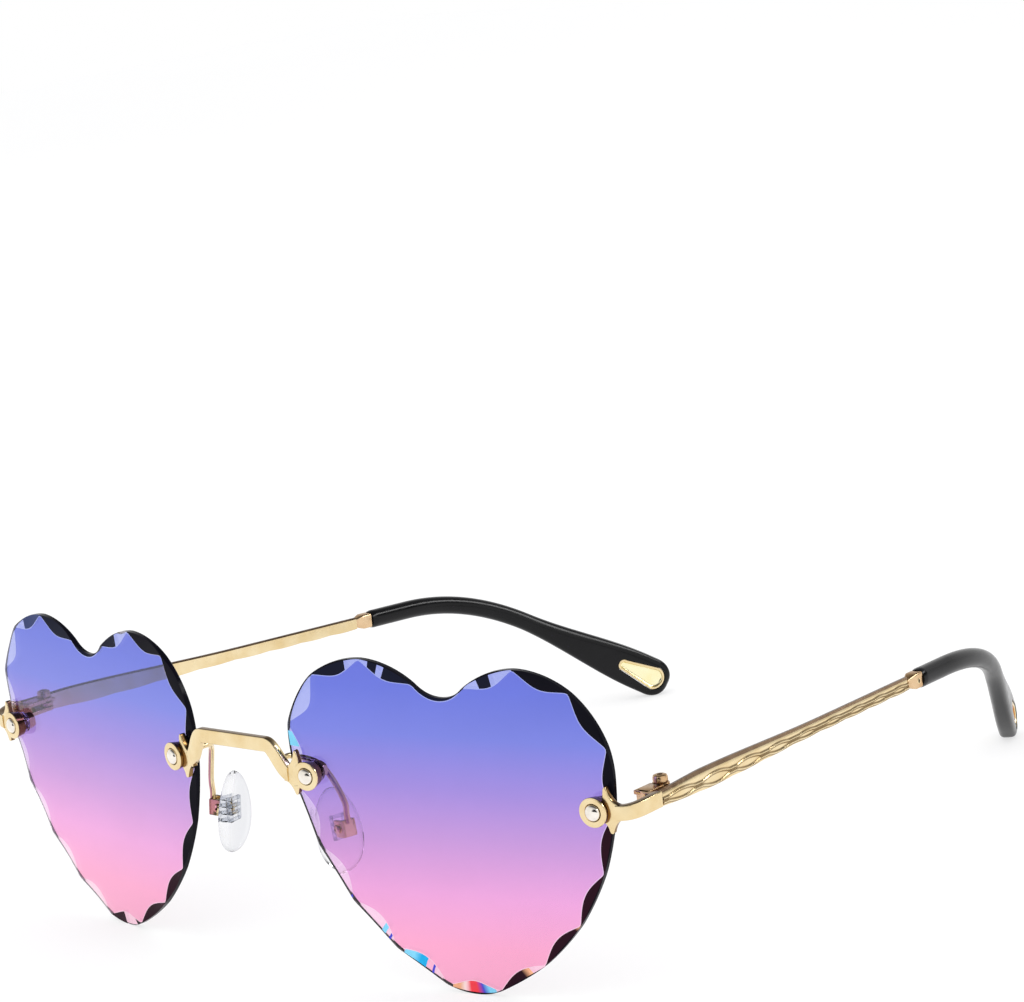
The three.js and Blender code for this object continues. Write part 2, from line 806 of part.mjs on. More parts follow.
function tipSize(distance) {
  const { lerp, smoothstep } = THREE.MathUtils;
  const flare = smoothstep(distance, tipLength * flareStart, paddleMiddle);
  const left = tipLength - distance;
  return {
    height: lerp(tipHeight, paddleHeight, flare) * endRounding(left, paddleHeight / 2),
    thickness: lerp(tipThickness, paddleThickness, flare) * endRounding(left, paddleThickness / 2),
    roundness: lerp(tipRoundness, paddleRoundness, flare),
  };
}

function inlayShape(margin) {
  const big = inlayHeight / 2 + margin;
  const small = inlayNose + margin;
  const bigAt = inlayLength / 2 - inlayHeight / 2;
  const smallAt = inlayNose - inlayLength / 2;
  const lean = Math.asin((big - small) / (bigAt - smallAt));
  const shape = new THREE.Shape();
  shape.absarc(bigAt, 0, big, lean - Math.PI / 2, Math.PI / 2 - lean, false);
  shape.absarc(smallAt, 0, small, Math.PI / 2 - lean, 1.5 * Math.PI + lean, false);
  return shape;
}

// The inlay's plug, through the paddle from face to face
function inlayPlug(margin, thickness) {
  const geometry = new THREE.ExtrudeGeometry(inlayShape(margin), {
    depth: thickness,
    bevelEnabled: false,
    curveSegments: inlaySteps,
  }).translate(0, 0, -thickness / 2);
  const share = paddleMiddle / tipLength;
  const way = tipLine.getTangentAt(share);
  const { outward, up } = crossAxes(way);
  const turn = new THREE.Matrix4().makeBasis(way, up, outward.clone().negate());
  return facedOutward(mergeVertices(geometry.applyMatrix4(turn.setPosition(tipLine.getPointAt(share)))));
}

function tipGeometry() {
  const capStart = tipLength - paddleHeight / 2;
  const bodyStations = Array.from({ length: tipSteps + 1 }, (_, i) => (capStart * i) / tipSteps);
  const capTurn = Math.PI / (2 * capSteps + 1);
  const capStations = Array.from({ length: capSteps }, (_, i) =>
    capStart + (paddleHeight / 2) * Math.sin(capTurn * (i + 1)));
  const skin = [...bodyStations, ...capStations].map((distance) => {
    const { height, thickness, roundness } = tipSize(distance);
    return ovalRing(distance, height, thickness, tipSteps, roundness);
  });
  const bore = coreDiameter + 2 * boreGap;
  const boreLength = coreLength + 2 * seatGap;
  const channel = Array.from({ length: pathSteps + 1 }, (_, i) =>
    ovalRing((boreLength * i) / pathSteps, bore, bore, tipSteps, 1));
  const sleeve = loft([...skin.toReversed(), ...channel]);
  return cut(sleeve, inlayPlug(boreGap, 2 * paddleThickness));
}

// The inlay lies a little below the paddle's faces
function inlayGeometry() {
  const thinnest = tipSize(paddleMiddle - inlayLength / 2).thickness;
  return inlayPlug(0, thinnest - 2 * inlayRecess);
}

// Nose pad, its hard core with the lug, the arm with its box, and the pad screw

const padCentre = v3(lensGap / 2 + padOutset, padSetback, innerHoleHeight - padDrop);
const padFrame = new THREE.Matrix4()
  .makeRotationFromEuler(new THREE.Euler(0, rad(-padLean), rad(-padSplay), "ZYX"))
  .setPosition(padCentre);
const padBack = padThickness / 2;
const lugCentre = v3(padBack + lugBoreReach, 0, lugRise);
const lugBore = padScrewDiameter / 2 + boreGap;

// Egg outline of the pad, wider at the bottom; X points away from the nose
function padRing(scale, x) {
  return Array.from({ length: 2 * roundSteps }, (_, i) => {
    const turn = (Math.PI * i) / roundSteps;
    const egg = 1 - padEgg * Math.sin(turn);
    return v3(x, (padWidth / 2) * scale * egg * Math.cos(turn), (padLength / 2) * scale * Math.sin(turn))
      .applyMatrix4(padFrame);
  });
}

function nosePadGeometry() {
  const cushion = loft(padProfile.map(([scale, depth]) => padRing(scale, padBack * depth)));
  const pocket = block(
    2 * (padPlateThickness + seatGap),
    padPlateWidth + 2 * seatGap,
    padPlateLength + 2 * seatGap,
    padBack,
    0,
    lugRise,
  ).applyMatrix4(padFrame);
  return cut(cushion, pocket);
}

const padDrill = () => drill(lugBore, -padWidth, padWidth).translate(lugCentre.x, 0, lugRise);

function padCoreGeometry() {
  const plateMiddle = padBack - padPlateThickness / 2;
  const base = block(padPlateThickness, padPlateWidth, padPlateLength, plateMiddle, 0, lugRise);
  const lugFoot = padBack - padPlateThickness / 2;
  const lugEnd = padBack + lugLength;
  const lug = block(lugEnd - lugFoot, lugThickness, lugHeight, (lugEnd + lugFoot) / 2, 0, lugRise);
  return cut(join(base, lug), padDrill()).applyMatrix4(padFrame);
}

const cheekInside = lugThickness / 2 + boreGap;
const cheekOutside = cheekInside + boxWall;
const boxBack = padBack + lugLength + boxPlay;
const boxFront = boxBack + boxWall - boxLength;

function padArmGeometry() {
  const cheek = (sign) => block(
    boxLength,
    boxWall,
    boxHeight,
    (boxFront + boxBack + boxWall) / 2,
    sign * (cheekInside + cheekOutside) / 2,
    lugRise,
  );
  const back = block(boxWall, 2 * cheekOutside, boxHeight, boxBack + boxWall / 2, 0, lugRise);
  const box = cut(join(cheek(1), cheek(-1), back), padDrill()).applyMatrix4(padFrame);
  const rail = bridgeCurve();
  const { outward } = crossAxes(rail.getTangentAt(armRoot));
  const start = rail.getPointAt(armRoot).addScaledVector(outward, stripThickness / 2 + seatGap);
  const onBox = (up) => v3(boxBack + armDiameter / 2, 0, lugRise + boxHeight / 2 + up).applyMatrix4(padFrame);
  const overBox = onBox(armDiameter);
  const wirePath = new THREE.CatmullRomCurve3([
    start,
    start.clone().addScaledVector(outward, armLead),
    v3((start.x + overBox.x) / 2, start.y + armBow, start.z - armSink),
    v3(overBox.x, overBox.y, overBox.z + armSink),
    overBox,
    onBox(-boxWall),
  ]);
  const wire = new THREE.ExtrudeGeometry(disc(armDiameter / 2, wireSteps), {
    steps: 2 * pathSteps,
    bevelEnabled: false,
    extrudePath: wirePath,
  });
  return join(box, wire);
}

function padScrewGeometry() {
  const r = padScrewDiameter / 2;
  const head = padHeadDiameter / 2;
  const seat = -cheekOutside - seatGap;
  return turned([
    ...domed(head, padHeadRise, seat),
    [r, seat],
    [r, cheekOutside],
    [0, cheekOutside],
  ]).translate(lugCentre.x, 0, lugRise).applyMatrix4(padFrame);
}

// Assembly

function addSide(parent, side, mirror) {
  const group = new THREE.Group();
  group.scale.x = mirror;
  parent.add(group);
  const add = (name, geometry, material, holder = group) => {
    const mesh = new THREE.Mesh(geometry, material);
    mesh.name = `${name}_${side}`;
    holder.add(mesh);
  };

  const lens = new THREE.Group();
  lens.applyMatrix4(lensFrame);
  group.add(lens);
  add("lens", lensGeometry(), lensTint, lens);
  for (const [place, hole] of [["inner", innerHole], ["outer", outerHole]]) {
    const stack = new THREE.Group();
    stack.position.set(hole.x, 0, hole.y);
    lens.add(stack);
    add(`lens_screw_${place}`, lensScrewGeometry(), steel, stack);
    add(`lens_sleeve_${place}`, lensSleeveGeometry(), clearPlastic, stack);
    add(`lens_washer_${place}`, lensWasherGeometry(), clearPlastic, stack);
    add(`lens_nut_${place}`, lensNutGeometry(), gold, stack);
  }
  add("end_piece", endPieceGeometry(), gold);
  add("hinge_screw", hingeScrewGeometry(), gold);
  add("temple", templeGeometry(), gold);
  add("temple_tip", tipGeometry(), black);
  add("tip_inlay", inlayGeometry(), gold);
  add("pad_arm", padArmGeometry(), gold);
  add("pad_screw", padScrewGeometry(), gold);
  add("pad_core", padCoreGeometry(), clearPlastic);
  add("nose_pad", nosePadGeometry(), clearPlastic);
}

const glasses = new THREE.Group();
const bridge = new THREE.Mesh(bridgeGeometry(), gold);
bridge.name = "bridge";
glasses.add(bridge);
addSide(glasses, "left", 1);
addSide(glasses, "right", -1);

// The origin is the middle of the footprint, on the surface that the glasses stand on
glasses.updateMatrixWorld(true);
const box = new THREE.Box3().setFromObject(glasses, true);
const middle = box.getCenter(v3());
glasses.position.set(-middle.x, -middle.y, -box.min.z);

export default glasses;
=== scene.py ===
"""Rimless heart-shaped sunglasses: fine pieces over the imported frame, materials, studio and camera."""
from math import asin, atan2, copysign, cos, pi, radians, sin, sqrt, tan

import bmesh
import bpy
import numpy as np
from mathutils import Matrix, Vector, geometry
from numpy.linalg import norm


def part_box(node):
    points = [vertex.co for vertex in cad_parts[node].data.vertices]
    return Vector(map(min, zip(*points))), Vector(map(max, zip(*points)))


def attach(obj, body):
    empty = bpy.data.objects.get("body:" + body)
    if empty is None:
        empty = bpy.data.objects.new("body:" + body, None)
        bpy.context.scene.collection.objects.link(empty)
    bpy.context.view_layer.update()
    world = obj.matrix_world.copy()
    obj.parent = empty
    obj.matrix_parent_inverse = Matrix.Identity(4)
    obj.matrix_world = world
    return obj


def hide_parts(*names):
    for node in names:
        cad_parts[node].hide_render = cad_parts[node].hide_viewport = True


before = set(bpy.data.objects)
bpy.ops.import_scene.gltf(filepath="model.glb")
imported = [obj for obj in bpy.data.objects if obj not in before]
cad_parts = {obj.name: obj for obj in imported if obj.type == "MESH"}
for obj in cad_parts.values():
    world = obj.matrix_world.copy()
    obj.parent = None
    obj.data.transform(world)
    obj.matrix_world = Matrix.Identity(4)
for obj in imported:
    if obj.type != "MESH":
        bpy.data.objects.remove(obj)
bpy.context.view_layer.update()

# Sizes in millimetres, as in the part's source
LOBE_RADIUS, LOBE_OFFSET, NOTCH_HEIGHT, LOBE_RISE = 15, 14, 46.7, 5.2
SIDE_RADIUS, POINT_RADIUS, LENS_THICKNESS, LOBE_TILT = 40, 10.4, 1.1, 1.2
LENS_GAP, WRAP_ANGLE = 21.6, 9.7
FACET_COUNT, FACET_BITE, FACET_LEAST, FACET_DEPTH, EDGE_BITE, CUSP = 18, 1.2, 0.4, 0.35, 0.08, 0.06
INNER_HOLE_HEIGHT, INNER_HOLE_INSET = 33.6, 3.6
OUTER_HOLE_HEIGHT, OUTER_HOLE_INSET = 31.1, 2.6
SCREW_RADIUS, SCREW_HEAD_RADIUS, SCREW_HEAD_RISE, SLEEVE_WALL = 0.6, 1.25, 0.55, 0.3
WASHER_RADIUS, WASHER_THICKNESS, NUT_WIDTH, NUT_THICKNESS = 1.7, 0.4, 2.5, 1.2
STRIP_HEIGHT, STRIP_THICKNESS, STRIP_LAP = 2.3, 1.2, 1
EYELET_RADIUS, EYELET_THICKNESS, EYELET_TAPER, HEAD_RECESS = 2.3, 1.7, 0.3, 0.4
EAR_RISE, EAR_THICKNESS = 3.4, 1
STAR_NECK, EAR_ROOT = (0.6, 0.5), (1.5, 1.2)
LOWER_EAR = ((0.84, 0.56), (0.92, 0.8), (1, 1.04), (1.2, 0.94))
UPPER_EAR = ((0.98, 1.08), (0.86, 1.2), (0.74, 1.02))
BRIDGE_RISE, BRIDGE_SHOULDER_INSET, BRIDGE_OFFSET = 4.4, 3.6, 1.6
FOOT_EASE, SHOULDER_EASE, SWEEP_OUT, SWEEP_BACK = 0.36, 0.4, 0.95, 0.62
JOINT_OVERHANG, JOINT_SETBACK, JOINT_RISE = 3.6, 5.1, 0.5
HINGE_INSET, HINGE_SETBACK, KNUCKLE_RADIUS, KNUCKLE_HEIGHT = 2.65, 3.6, 1.35, 0.65
LEAF_LENGTH, LEAF_LAP, HINGE_SCREW_RADIUS = 1.6, 0.35, 0.6
HINGE_HEAD_RADIUS, HINGE_HEAD_HEIGHT, HINGE_HEAD_CHAMFER = 1.15, 1.1, 0.4
TEMPLE_LENGTH, TEMPLE_SPLAY, TEMPLE_DROP, TEMPLE_THICKNESS = 76.6, 6.8, 3, 1.3
TEMPLE_FRONT, TEMPLE_SWELL, TEMPLE_REAR, SWELL_AT, SWELL_END = 2.4, 3.2, 2.1, 0.16, 0.6
BRAID_COUNT, BRAID_TAPER, STRAND_WIDTH, STRAND_RISE, STRAND_PARTING = 9, 0.6, 0.5, 0.22, 0.1
# BAND_SHARE is the share of the outer bevel, from the top, that the painted dark reflection band covers
BAR_CHAMFER, BEVEL_FOOT, BAND_SHARE, EDGE_SCALLOP = 0.26, 0.35, 0.62, 0.14
COLLAR_LENGTH, COLLAR_HEIGHT, COLLAR_THICKNESS, COLLAR_CHAMFER, COLLAR_FLARE = 3.4, 2.6, 2.2, 0.35, 0.45
TIP_STRAIGHT, TIP_BEND, TIP_REACH, TIP_CURL, TIP_DROP = 23.4, 14.4, 45.2, 31.7, 33
TIP_HEIGHT, TIP_THICKNESS, TIP_ROUNDNESS, FLARE_START = 3.3, 3.1, 0.95, 0.52
PADDLE_HEIGHT, PADDLE_THICKNESS, PADDLE_ROUNDNESS = 7.3, 3.4, 0.5
INLAY_LENGTH, INLAY_HEIGHT, INLAY_NOSE, INLAY_RIM, INLAY_RECESS = 10, 4.5, 1.1, 1.4, 0.15
PAD_LENGTH, PAD_WIDTH, PAD_THICKNESS, PAD_OUTSET, PAD_SETBACK, PAD_DROP = 13.6, 8.2, 2.3, 0.8, 7, 11.4
PAD_LEAN, PAD_SPLAY, PAD_EGG, LUG_RISE = 7.5, 15, 0.16, 0.5
LUG_THICKNESS, LUG_LENGTH, LUG_HEIGHT, LUG_BORE_REACH = 1.1, 2.4, 1.9, 1.5
PAD_PLATE = (0.7, 2.6, 4)
BOX_WALL, BOX_HEIGHT, BOX_LENGTH, BOX_PLAY = 0.55, 2.7, 2.6, 0.25
ARM_RADIUS, ARM_ROOT, ARM_LEAD, ARM_BOW, ARM_SINK = 0.475, 0.1, 2, 5.1, 1.7
PAD_SCREW_RADIUS, PAD_HEAD_RADIUS, PAD_HEAD_RISE = 0.45, 0.75, 0.4
SEAT_GAP, BORE_GAP, HINGE_GAP = 0.12, 0.1, 0.15

# Eased edges and small forms that only the fine pieces have. PIN is the hair of room in the middle of a turned face.
PIN, EASE_STEPS, POINT_GAP = 0.02, 4, 1e-4
LENS_EASE, HOLE_CLEAR, SHANK_EASE, SLEEVE_EASE, WASHER_EASE = 0.12, 0.1, 0.1, 0.03, 0.06
EAR_EASE, STRIP_EASE = 0.15, 0.2
NUT_CROWN, NUT_FRONT_EASE, NUT_BACK_EASE, NUT_BORE_EASE = 1.06, 0.12, 0.2, 0.1
EYELET_LIP, EYELET_RIM = ((0, 0.1), (0.06, 0.02), (0.14, 0)), ((0.16, 0), (0.05, 0.05), (0, 0.16))
# Rows of the eyelet's profile that get painted shade: the recess floor, the recess wall and the outer wall
EYELET_SHADE_ROWS = (0, 1, 7)
BRICK_EASE, BRICK_ROWS = 0.12, ((0, 1, 0.6), (0.3, 0.3, 1.16), (1, 0, 1.4))
KNUCKLE_EASE, KNUCKLE_SINK, LEAF_EASE = 0.08, 0.2, 0.2
LEAF_ROWS = ((0, 0.3, 0.1), (0.08, 0.36, 0), (1, 1, 0), (1, 1, 0.08))
PIN_EASE, HEAD_EASE, HEAD_SHOULDER, SOCKET_RADIUS, SOCKET_DEPTH = 0.06, 0.05, 0.3, 0.42, 0.16
BRAID_STEPS, CORE_RADIUS, CORE_LENGTH = 28, 0.65, 44
WAIST_AT, WAIST_HEIGHT, WAIST_THICKNESS = 0.55, 0.86, 0.8
COLLAR_ROUND, COLLAR_EASE, DOT_AT, DOT_RISE = 0.35, 0.1, 0.4, 0.02
DOT_PROFILE = ((PIN, 0), (0.3, 0.02), (0.34, 0.05), (0.42, 0.04), (0.5, -0.06))
TIP_MOUTH, TIP_MOUTH_EASE, TIP_END_STOP = 0.25, 0.3, 0.06
INLAY_DISH = ((-0.9, 0.42), (-0.75, 0.4), (-0.6, 0.33), (-0.46, 0.16), (-0.4, 0.03), (-0.34, 0), (-0.1, 0),
              (-0.03, 0.03), (0, 0.12))
DISH_ROWS = 3
PAD_KNOTS = ((0.62, 1), (0.9, 0.97), (0.97, 0.8), (1, 0.5), (0.99, 0.1), (0.94, -0.3), (0.84, -0.65), (0.66, -0.87),
             (0.45, -0.97), (0.2, -1))
RAIL_WIDTH, RUNG_COUNT, RUNG_HEIGHT, RUNG_INSET, RUNG_MARGIN = 0.5, 4, 0.55, 0.4, 0.6
PAD_SOCKET = ((PIN, 0.14), (0.2, 0.14), (0.22, 0.02))

# Tones, as shares of a material's colour. All but PLAIN are painted shade: on side walls and recess walls, in sockets
# and in the collar's dot
PLAIN, EDGE_SHADE, SOCKET_SHADE = (1, 1, 1), (0.3, 0.21, 0.13), (0.3, 0.25, 0.2)
DOT_SHADE, PAD_SOCKET_SHADE = (0.12, 0.09, 0.06), (0.1, 0.07, 0.06)
# Painted shade in the braid's grooves: its depth, where it falls across a strand's edge, its width, and the powers
# that warm it
STRAND_SHADE, SHADE_AT, SHADE_WIDTH, GREEN_POWER, BLUE_POWER = 0.8, 0.95, 0.08, 1.15, 1.35

MM = 0.001
UP = np.array((0.0, 0.0, 1.0))


# Shapes: points in the source's own millimetres, faces with a material number and a colour

class Shape:
    def __init__(self):
        self.points, self.faces, self.slots, self.tones = [], [], [], []

    def ring(self, points):
        start = len(self.points)
        self.points.extend(np.asarray(p, float) for p in points)
        return list(range(start, len(self.points)))

    def face(self, corners, slot=0, tone=PLAIN):
        self.faces.append(list(corners))
        self.slots.append(slot)
        self.tones.append(tone)

    def skin(self, a, b, paint=lambda i: (0, PLAIN)):
        for i in range(len(a)):
            j = (i + 1) % len(a)
            self.face((a[i], a[j], b[j], b[i]), *paint(i))

    def loft(self, rings, capped=True, paint=lambda r, i: (0, PLAIN)):
        rows = [self.ring(r) for r in rings]
        for r in range(len(rows) - 1):
            self.skin(rows[r], rows[r + 1], lambda i: paint(r, i))
        if capped:
            self.face(rows[0], *paint(0, 0))
            self.face(rows[-1], *paint(len(rows) - 2, 0))
        else:
            self.skin(rows[-1], rows[0])
        return self

    def move(self, place, since=0):
        self.points[since:] = [place(*p) for p in self.points[since:]]


# Points nearer than this in metres are one, and edges that bend by more than these degrees look sharp
WELD = 1e-7
SHARP, LENS_SHARP, TEMPLE_SHARP, TIP_SHARP, PAD_SHARP = 35, 12, 40, 50, 60


def put(name, data):
    thing = bpy.data.objects.new(name, data)
    bpy.context.scene.collection.objects.link(thing)
    return thing


def mend(mesh, weld=0.0):
    """Turns all faces outward, and joins points nearer than weld."""
    bm = bmesh.new()
    bm.from_mesh(mesh)
    if weld:
        bmesh.ops.remove_doubles(bm, verts=bm.verts, dist=weld)
    bmesh.ops.recalc_face_normals(bm, faces=bm.faces)
    bm.to_mesh(mesh)
    bm.free()


def build(name, shape, paints, body, nodes, side=1, sharp=SHARP):
    """One piece of the part, on its body and in its nodes' place; side -1 mirrors it to the other side."""
    mesh = bpy.data.meshes.new(name)
    spots = (np.array(shape.points) * (side, 1, 1) + SHIFT) * MM
    mesh.from_pydata(spots.tolist(), [], shape.faces)
    for paint in paints:
        mesh.materials.append(paint.material)
    mesh.polygons.foreach_set("material_index", shape.slots)
    tone = mesh.color_attributes.new("tone", "FLOAT_COLOR", "CORNER")
    for polygon, colour in zip(mesh.polygons, shape.tones):
        corners = colour if isinstance(colour, list) else [colour] * polygon.loop_total
        for loop, shade in zip(polygon.loop_indices, corners):
            tone.data[loop].color = (*shade, 1)
    mend(mesh, WELD)
    mesh.shade_smooth()
    mesh.set_sharp_from_angle(angle=radians(sharp))
    piece = put(name, mesh)
    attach(piece, body)
    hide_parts(*nodes)
    return piece


def unit(v):
    return v / norm(v)


def circle(steps):
    return np.linspace(0, 2 * pi, steps + 1)[:-1]


def smooth(x):
    x = np.clip(x, 0, 1)
    return x ** 2 * (3 - 2 * x)


def inward_of(outline):
    edge = np.roll(outline, -1, 0) - np.roll(outline, 1, 0)
    return np.stack([-edge[:, 1], edge[:, 0]], 1) / norm(edge, axis=1)[:, None]


def along(points, count):
    """Points of a polyline, evenly spaced or at given distances, and the direction at each."""
    points = np.asarray(points, float)
    run = np.concatenate([[0], np.cumsum(norm(np.diff(points, axis=0), axis=1))])
    at = np.asarray(count if np.ndim(count) else np.linspace(0, run[-1], count), float)
    pick = lambda s: np.stack([np.interp(s, run, points[:, k]) for k in range(points.shape[1])], 1)
    step = run[-1] / 2000
    ways = pick(np.minimum(at + step, run[-1])) - pick(np.maximum(at - step, 0))
    return pick(at), ways / norm(ways, axis=1)[:, None]


def spot_on(path, distance):
    return (rows[0] for rows in along(path, [distance]))


def bezier(*controls, steps=60):
    t = np.linspace(0, 1, steps)[:, None]
    rows = [np.asarray(c, float)[None] + 0 * t for c in controls]
    while len(rows) > 1:
        rows = [a + (b - a) * t for a, b in zip(rows, rows[1:])]
    return rows[0]


def length_of(points):
    return norm(np.diff(points, axis=0), axis=1).sum()


def rounded(width, height, radius, steps=4):
    """Corners of a rectangle with rounded corners, as pairs."""
    out = []
    for k, (sx, sy) in enumerate(((1, 1), (-1, 1), (-1, -1), (1, -1))):
        for i in range(steps + 1):
            turn = pi / 2 * (k + i / steps)
            out.append((sx * (width / 2 - radius) + radius * cos(turn),
                        sy * (height / 2 - radius) + radius * sin(turn)))
    return out


def across(way):
    """Outward and up, square to a direction."""
    outward = unit(np.cross(way, UP))
    return outward, np.cross(outward, way)


def section(centre, way, corners):
    """A cross section of an upright bar: pairs of outward and up."""
    outward, up = across(way)
    return [centre + outward * a + up * b for a, b in corners]


def lathe(shape, profile, place, steps=40, paint=lambda r, i: (0, PLAIN)):
    """Turns pairs of radius and depth about a local Y axis; the profile is closed if it ends where it starts."""
    closed = profile[0] == profile[-1]
    rings = [[place(r * cos(t), y, r * sin(t)) for t in circle(steps)] for r, y in profile]
    return shape.loft(rings[:-1] if closed else rings, not closed, paint)


def brick(shape, size, centre, place, bevel=BRICK_EASE, paint=(0, PLAIN)):
    """A box with rounded edges, its size and centre in a local frame."""
    sx, sy, sz = size
    rings = []
    for depth, inset, corner in BRICK_ROWS:
        shrink = 2 * bevel * inset
        outline = rounded(sx - shrink, sz - shrink, bevel * corner)
        rings.append([(x, -sy / 2 + bevel * depth, z) for x, z in outline])
    rings += [[(x, -y, z) for x, y, z in r] for r in reversed(rings)]
    shape.loft([[place(*np.add(p, centre)) for p in r] for r in rings], True, lambda r, i: paint)


def plate(shape, outline, front, back, bevel, place):
    """A flat piece with rounded front and back edges, drawn in the lens plane."""
    inward = inward_of(outline)
    turns = np.linspace(0, pi / 2, EASE_STEPS)
    rows = [(bevel * (1 - sin(t)), front + bevel * (1 - cos(t))) for t in turns]
    rows += [(bevel * (1 - sin(t)), back - bevel * (1 - cos(t))) for t in reversed(turns)]
    rings = [[place(x, depth, z) for x, z in outline + inward * inset] for inset, depth in rows]
    # The edge wall between the front and back roundings gets painted shade
    shape.loft(rings, True, lambda r, i: (0, EDGE_SHADE if r == EASE_STEPS - 1 else PLAIN))


# Heart outline and the lens frame

LOBE_HEIGHT = NOTCH_HEIGHT + LOBE_RISE - LOBE_RADIUS
LENS_HALF = LOBE_OFFSET + LOBE_RADIUS
LENS_FRONT, LENS_BACK = -LENS_THICKNESS / 2, LENS_THICKNESS / 2


def heart(count):
    """Evenly spaced outline points from the point of the heart towards its outer side, and inward directions."""
    lobe, point = np.array((LOBE_OFFSET, LOBE_HEIGHT)), np.array((0, POINT_RADIUS))
    to_lobe, to_point = SIDE_RADIUS - LOBE_RADIUS, SIDE_RADIUS - POINT_RADIUS
    span = norm(point - lobe)
    reach = (to_lobe ** 2 - to_point ** 2 + span ** 2) / (2 * span)
    axis = (point - lobe) / span
    side = lobe + axis * reach + np.array((axis[1], -axis[0])) * sqrt(to_lobe ** 2 - reach ** 2)
    above = NOTCH_HEIGHT - LOBE_HEIGHT
    notch = (above ** 2 + LOBE_OFFSET ** 2 - LOBE_RADIUS ** 2) / (2 * (LOBE_RADIUS - above))
    point_turn = atan2(POINT_RADIUS - side[1], -side[0])
    lobe_turn = atan2(LOBE_HEIGHT - side[1], LOBE_OFFSET - side[0])
    notch_turn = atan2(NOTCH_HEIGHT + notch - LOBE_HEIGHT, -LOBE_OFFSET)
    arcs = ((0, POINT_RADIUS, POINT_RADIUS, -pi / 2, point_turn),
            (*side, SIDE_RADIUS, point_turn, lobe_turn),
            (*lobe, LOBE_RADIUS, lobe_turn, notch_turn),
            (0, NOTCH_HEIGHT + notch, notch, notch_turn - pi, -pi / 2))
    half = [(x + r * cos(t), y + r * sin(t)) for x, y, r, start, end in arcs for t in np.linspace(start, end, 200)]
    whole = half + [(-x, y) for x, y in reversed(half)]
    points = along(whole, count + 1)[0][:-1]
    points[:, 1] -= points[:, 0] * tan(radians(LOBE_TILT))
    return points, inward_of(points)


FACET_STEPS = 24
OUTLINE, INWARD = heart(FACET_COUNT * FACET_STEPS)


def edge_at(height, outer):
    a, b = OUTLINE, np.roll(OUTLINE, -1, 0)
    share = (height - a[:, 1]) / (b[:, 1] - a[:, 1])
    hit = (share >= 0) & (share < 1)
    xs = (a[:, 0] + share * (b[:, 0] - a[:, 0]))[hit]
    return xs.max() if outer else xs.min()


def facet_bites():
    """How far each facet bites into the front: further where the outline turns more."""
    pitch = length_of(np.vstack([OUTLINE, OUTLINE[:1]])) / FACET_COUNT
    ends = INWARD[np.arange(FACET_COUNT) * FACET_STEPS - FACET_STEPS // 2]
    (ax, ay), (bx, by) = ends.T, np.roll(ends, -1, 0).T
    turn = np.arctan2(ax * by - ay * bx, ax * bx + ay * by)
    return np.maximum(FACET_LEAST, FACET_BITE + pitch * turn / 8)


INNER_HOLE = np.array((edge_at(INNER_HOLE_HEIGHT, False) + INNER_HOLE_INSET, INNER_HOLE_HEIGHT))
OUTER_HOLE = np.array((edge_at(OUTER_HOLE_HEIGHT, True) - OUTER_HOLE_INSET, OUTER_HOLE_HEIGHT))
WRAP = radians(WRAP_ANGLE)
LENS_CENTRE = np.array((LENS_GAP / 2 + LENS_HALF * cos(WRAP), LENS_HALF * sin(WRAP), 0))


def on_lens(x, y, z):
    return LENS_CENTRE + np.array((x * cos(WRAP) - y * sin(WRAP), x * sin(WRAP) + y * cos(WRAP), z))


# Temple direction, joint and hinge

TEMPLE_WAY = unit(np.array((-sin(radians(TEMPLE_SPLAY)), cos(radians(TEMPLE_SPLAY)), -tan(radians(TEMPLE_DROP)))))
JOINT = on_lens(LENS_HALF, 0, OUTER_HOLE_HEIGHT) + (JOINT_OVERHANG, JOINT_SETBACK, JOINT_RISE)
HINGE = np.array((JOINT[0] - HINGE_INSET, JOINT[1] + HINGE_SETBACK))
BARREL_HEIGHT = 3 * KNUCKLE_HEIGHT + 2 * HINGE_GAP
BARREL_FOOT = JOINT[2] - BARREL_HEIGHT / 2

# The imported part's origin, from where its hinge screw stands
screw_low, screw_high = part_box("hinge_screw_left")
SHIFT = (0, (screw_low.y + screw_high.y) / 2 / MM - HINGE[1], screw_low.z / MM - BARREL_FOOT)


# Materials

def linear(code):
    """A colour written as hexadecimal sRGB, in the renderer's linear values."""
    parts = [int(code[i:i + 2], 16) / 255 for i in (0, 2, 4)]
    return tuple(c / 12.92 if c < 0.04045 else ((c + 0.055) / 1.055) ** 2.4 for c in parts)


class Nodes:
    """A tree of shader nodes, with short ways to add and join them."""

    def __init__(self, tree):
        self.tree = tree

    def first(self, *kinds):
        return next(n for n in self.tree.nodes if n.type in kinds)

    def node(self, kind, inputs={}, **values):
        """A new node. An input is linked if it is a socket, and set if it is a number, a colour or its code."""
        node = self.tree.nodes.new("ShaderNode" + kind)
        for key, value in values.items():
            setattr(node, key, value)
        for key, value in inputs.items():
            socket = node.inputs[key]
            if isinstance(value, bpy.types.NodeSocket):
                self.link(value, socket)
                continue
            value = linear(value) if isinstance(value, str) else value
            socket.default_value = (*value, 1) if socket.type == "RGBA" else value
        return node

    def link(self, a, b):
        self.tree.links.new(a, b)

    def combine(self, operation, a, b):
        return self.node("Math", {0: a, 1: b}, operation=operation).outputs[0]

    def spread(self, value, low, high, start=0.3, end=0.7):
        span = {"Value": value, "From Min": start, "From Max": end, "To Min": low, "To Max": high}
        return self.node("MapRange", span).outputs["Result"]


BUMP_DEPTH = 0.00005


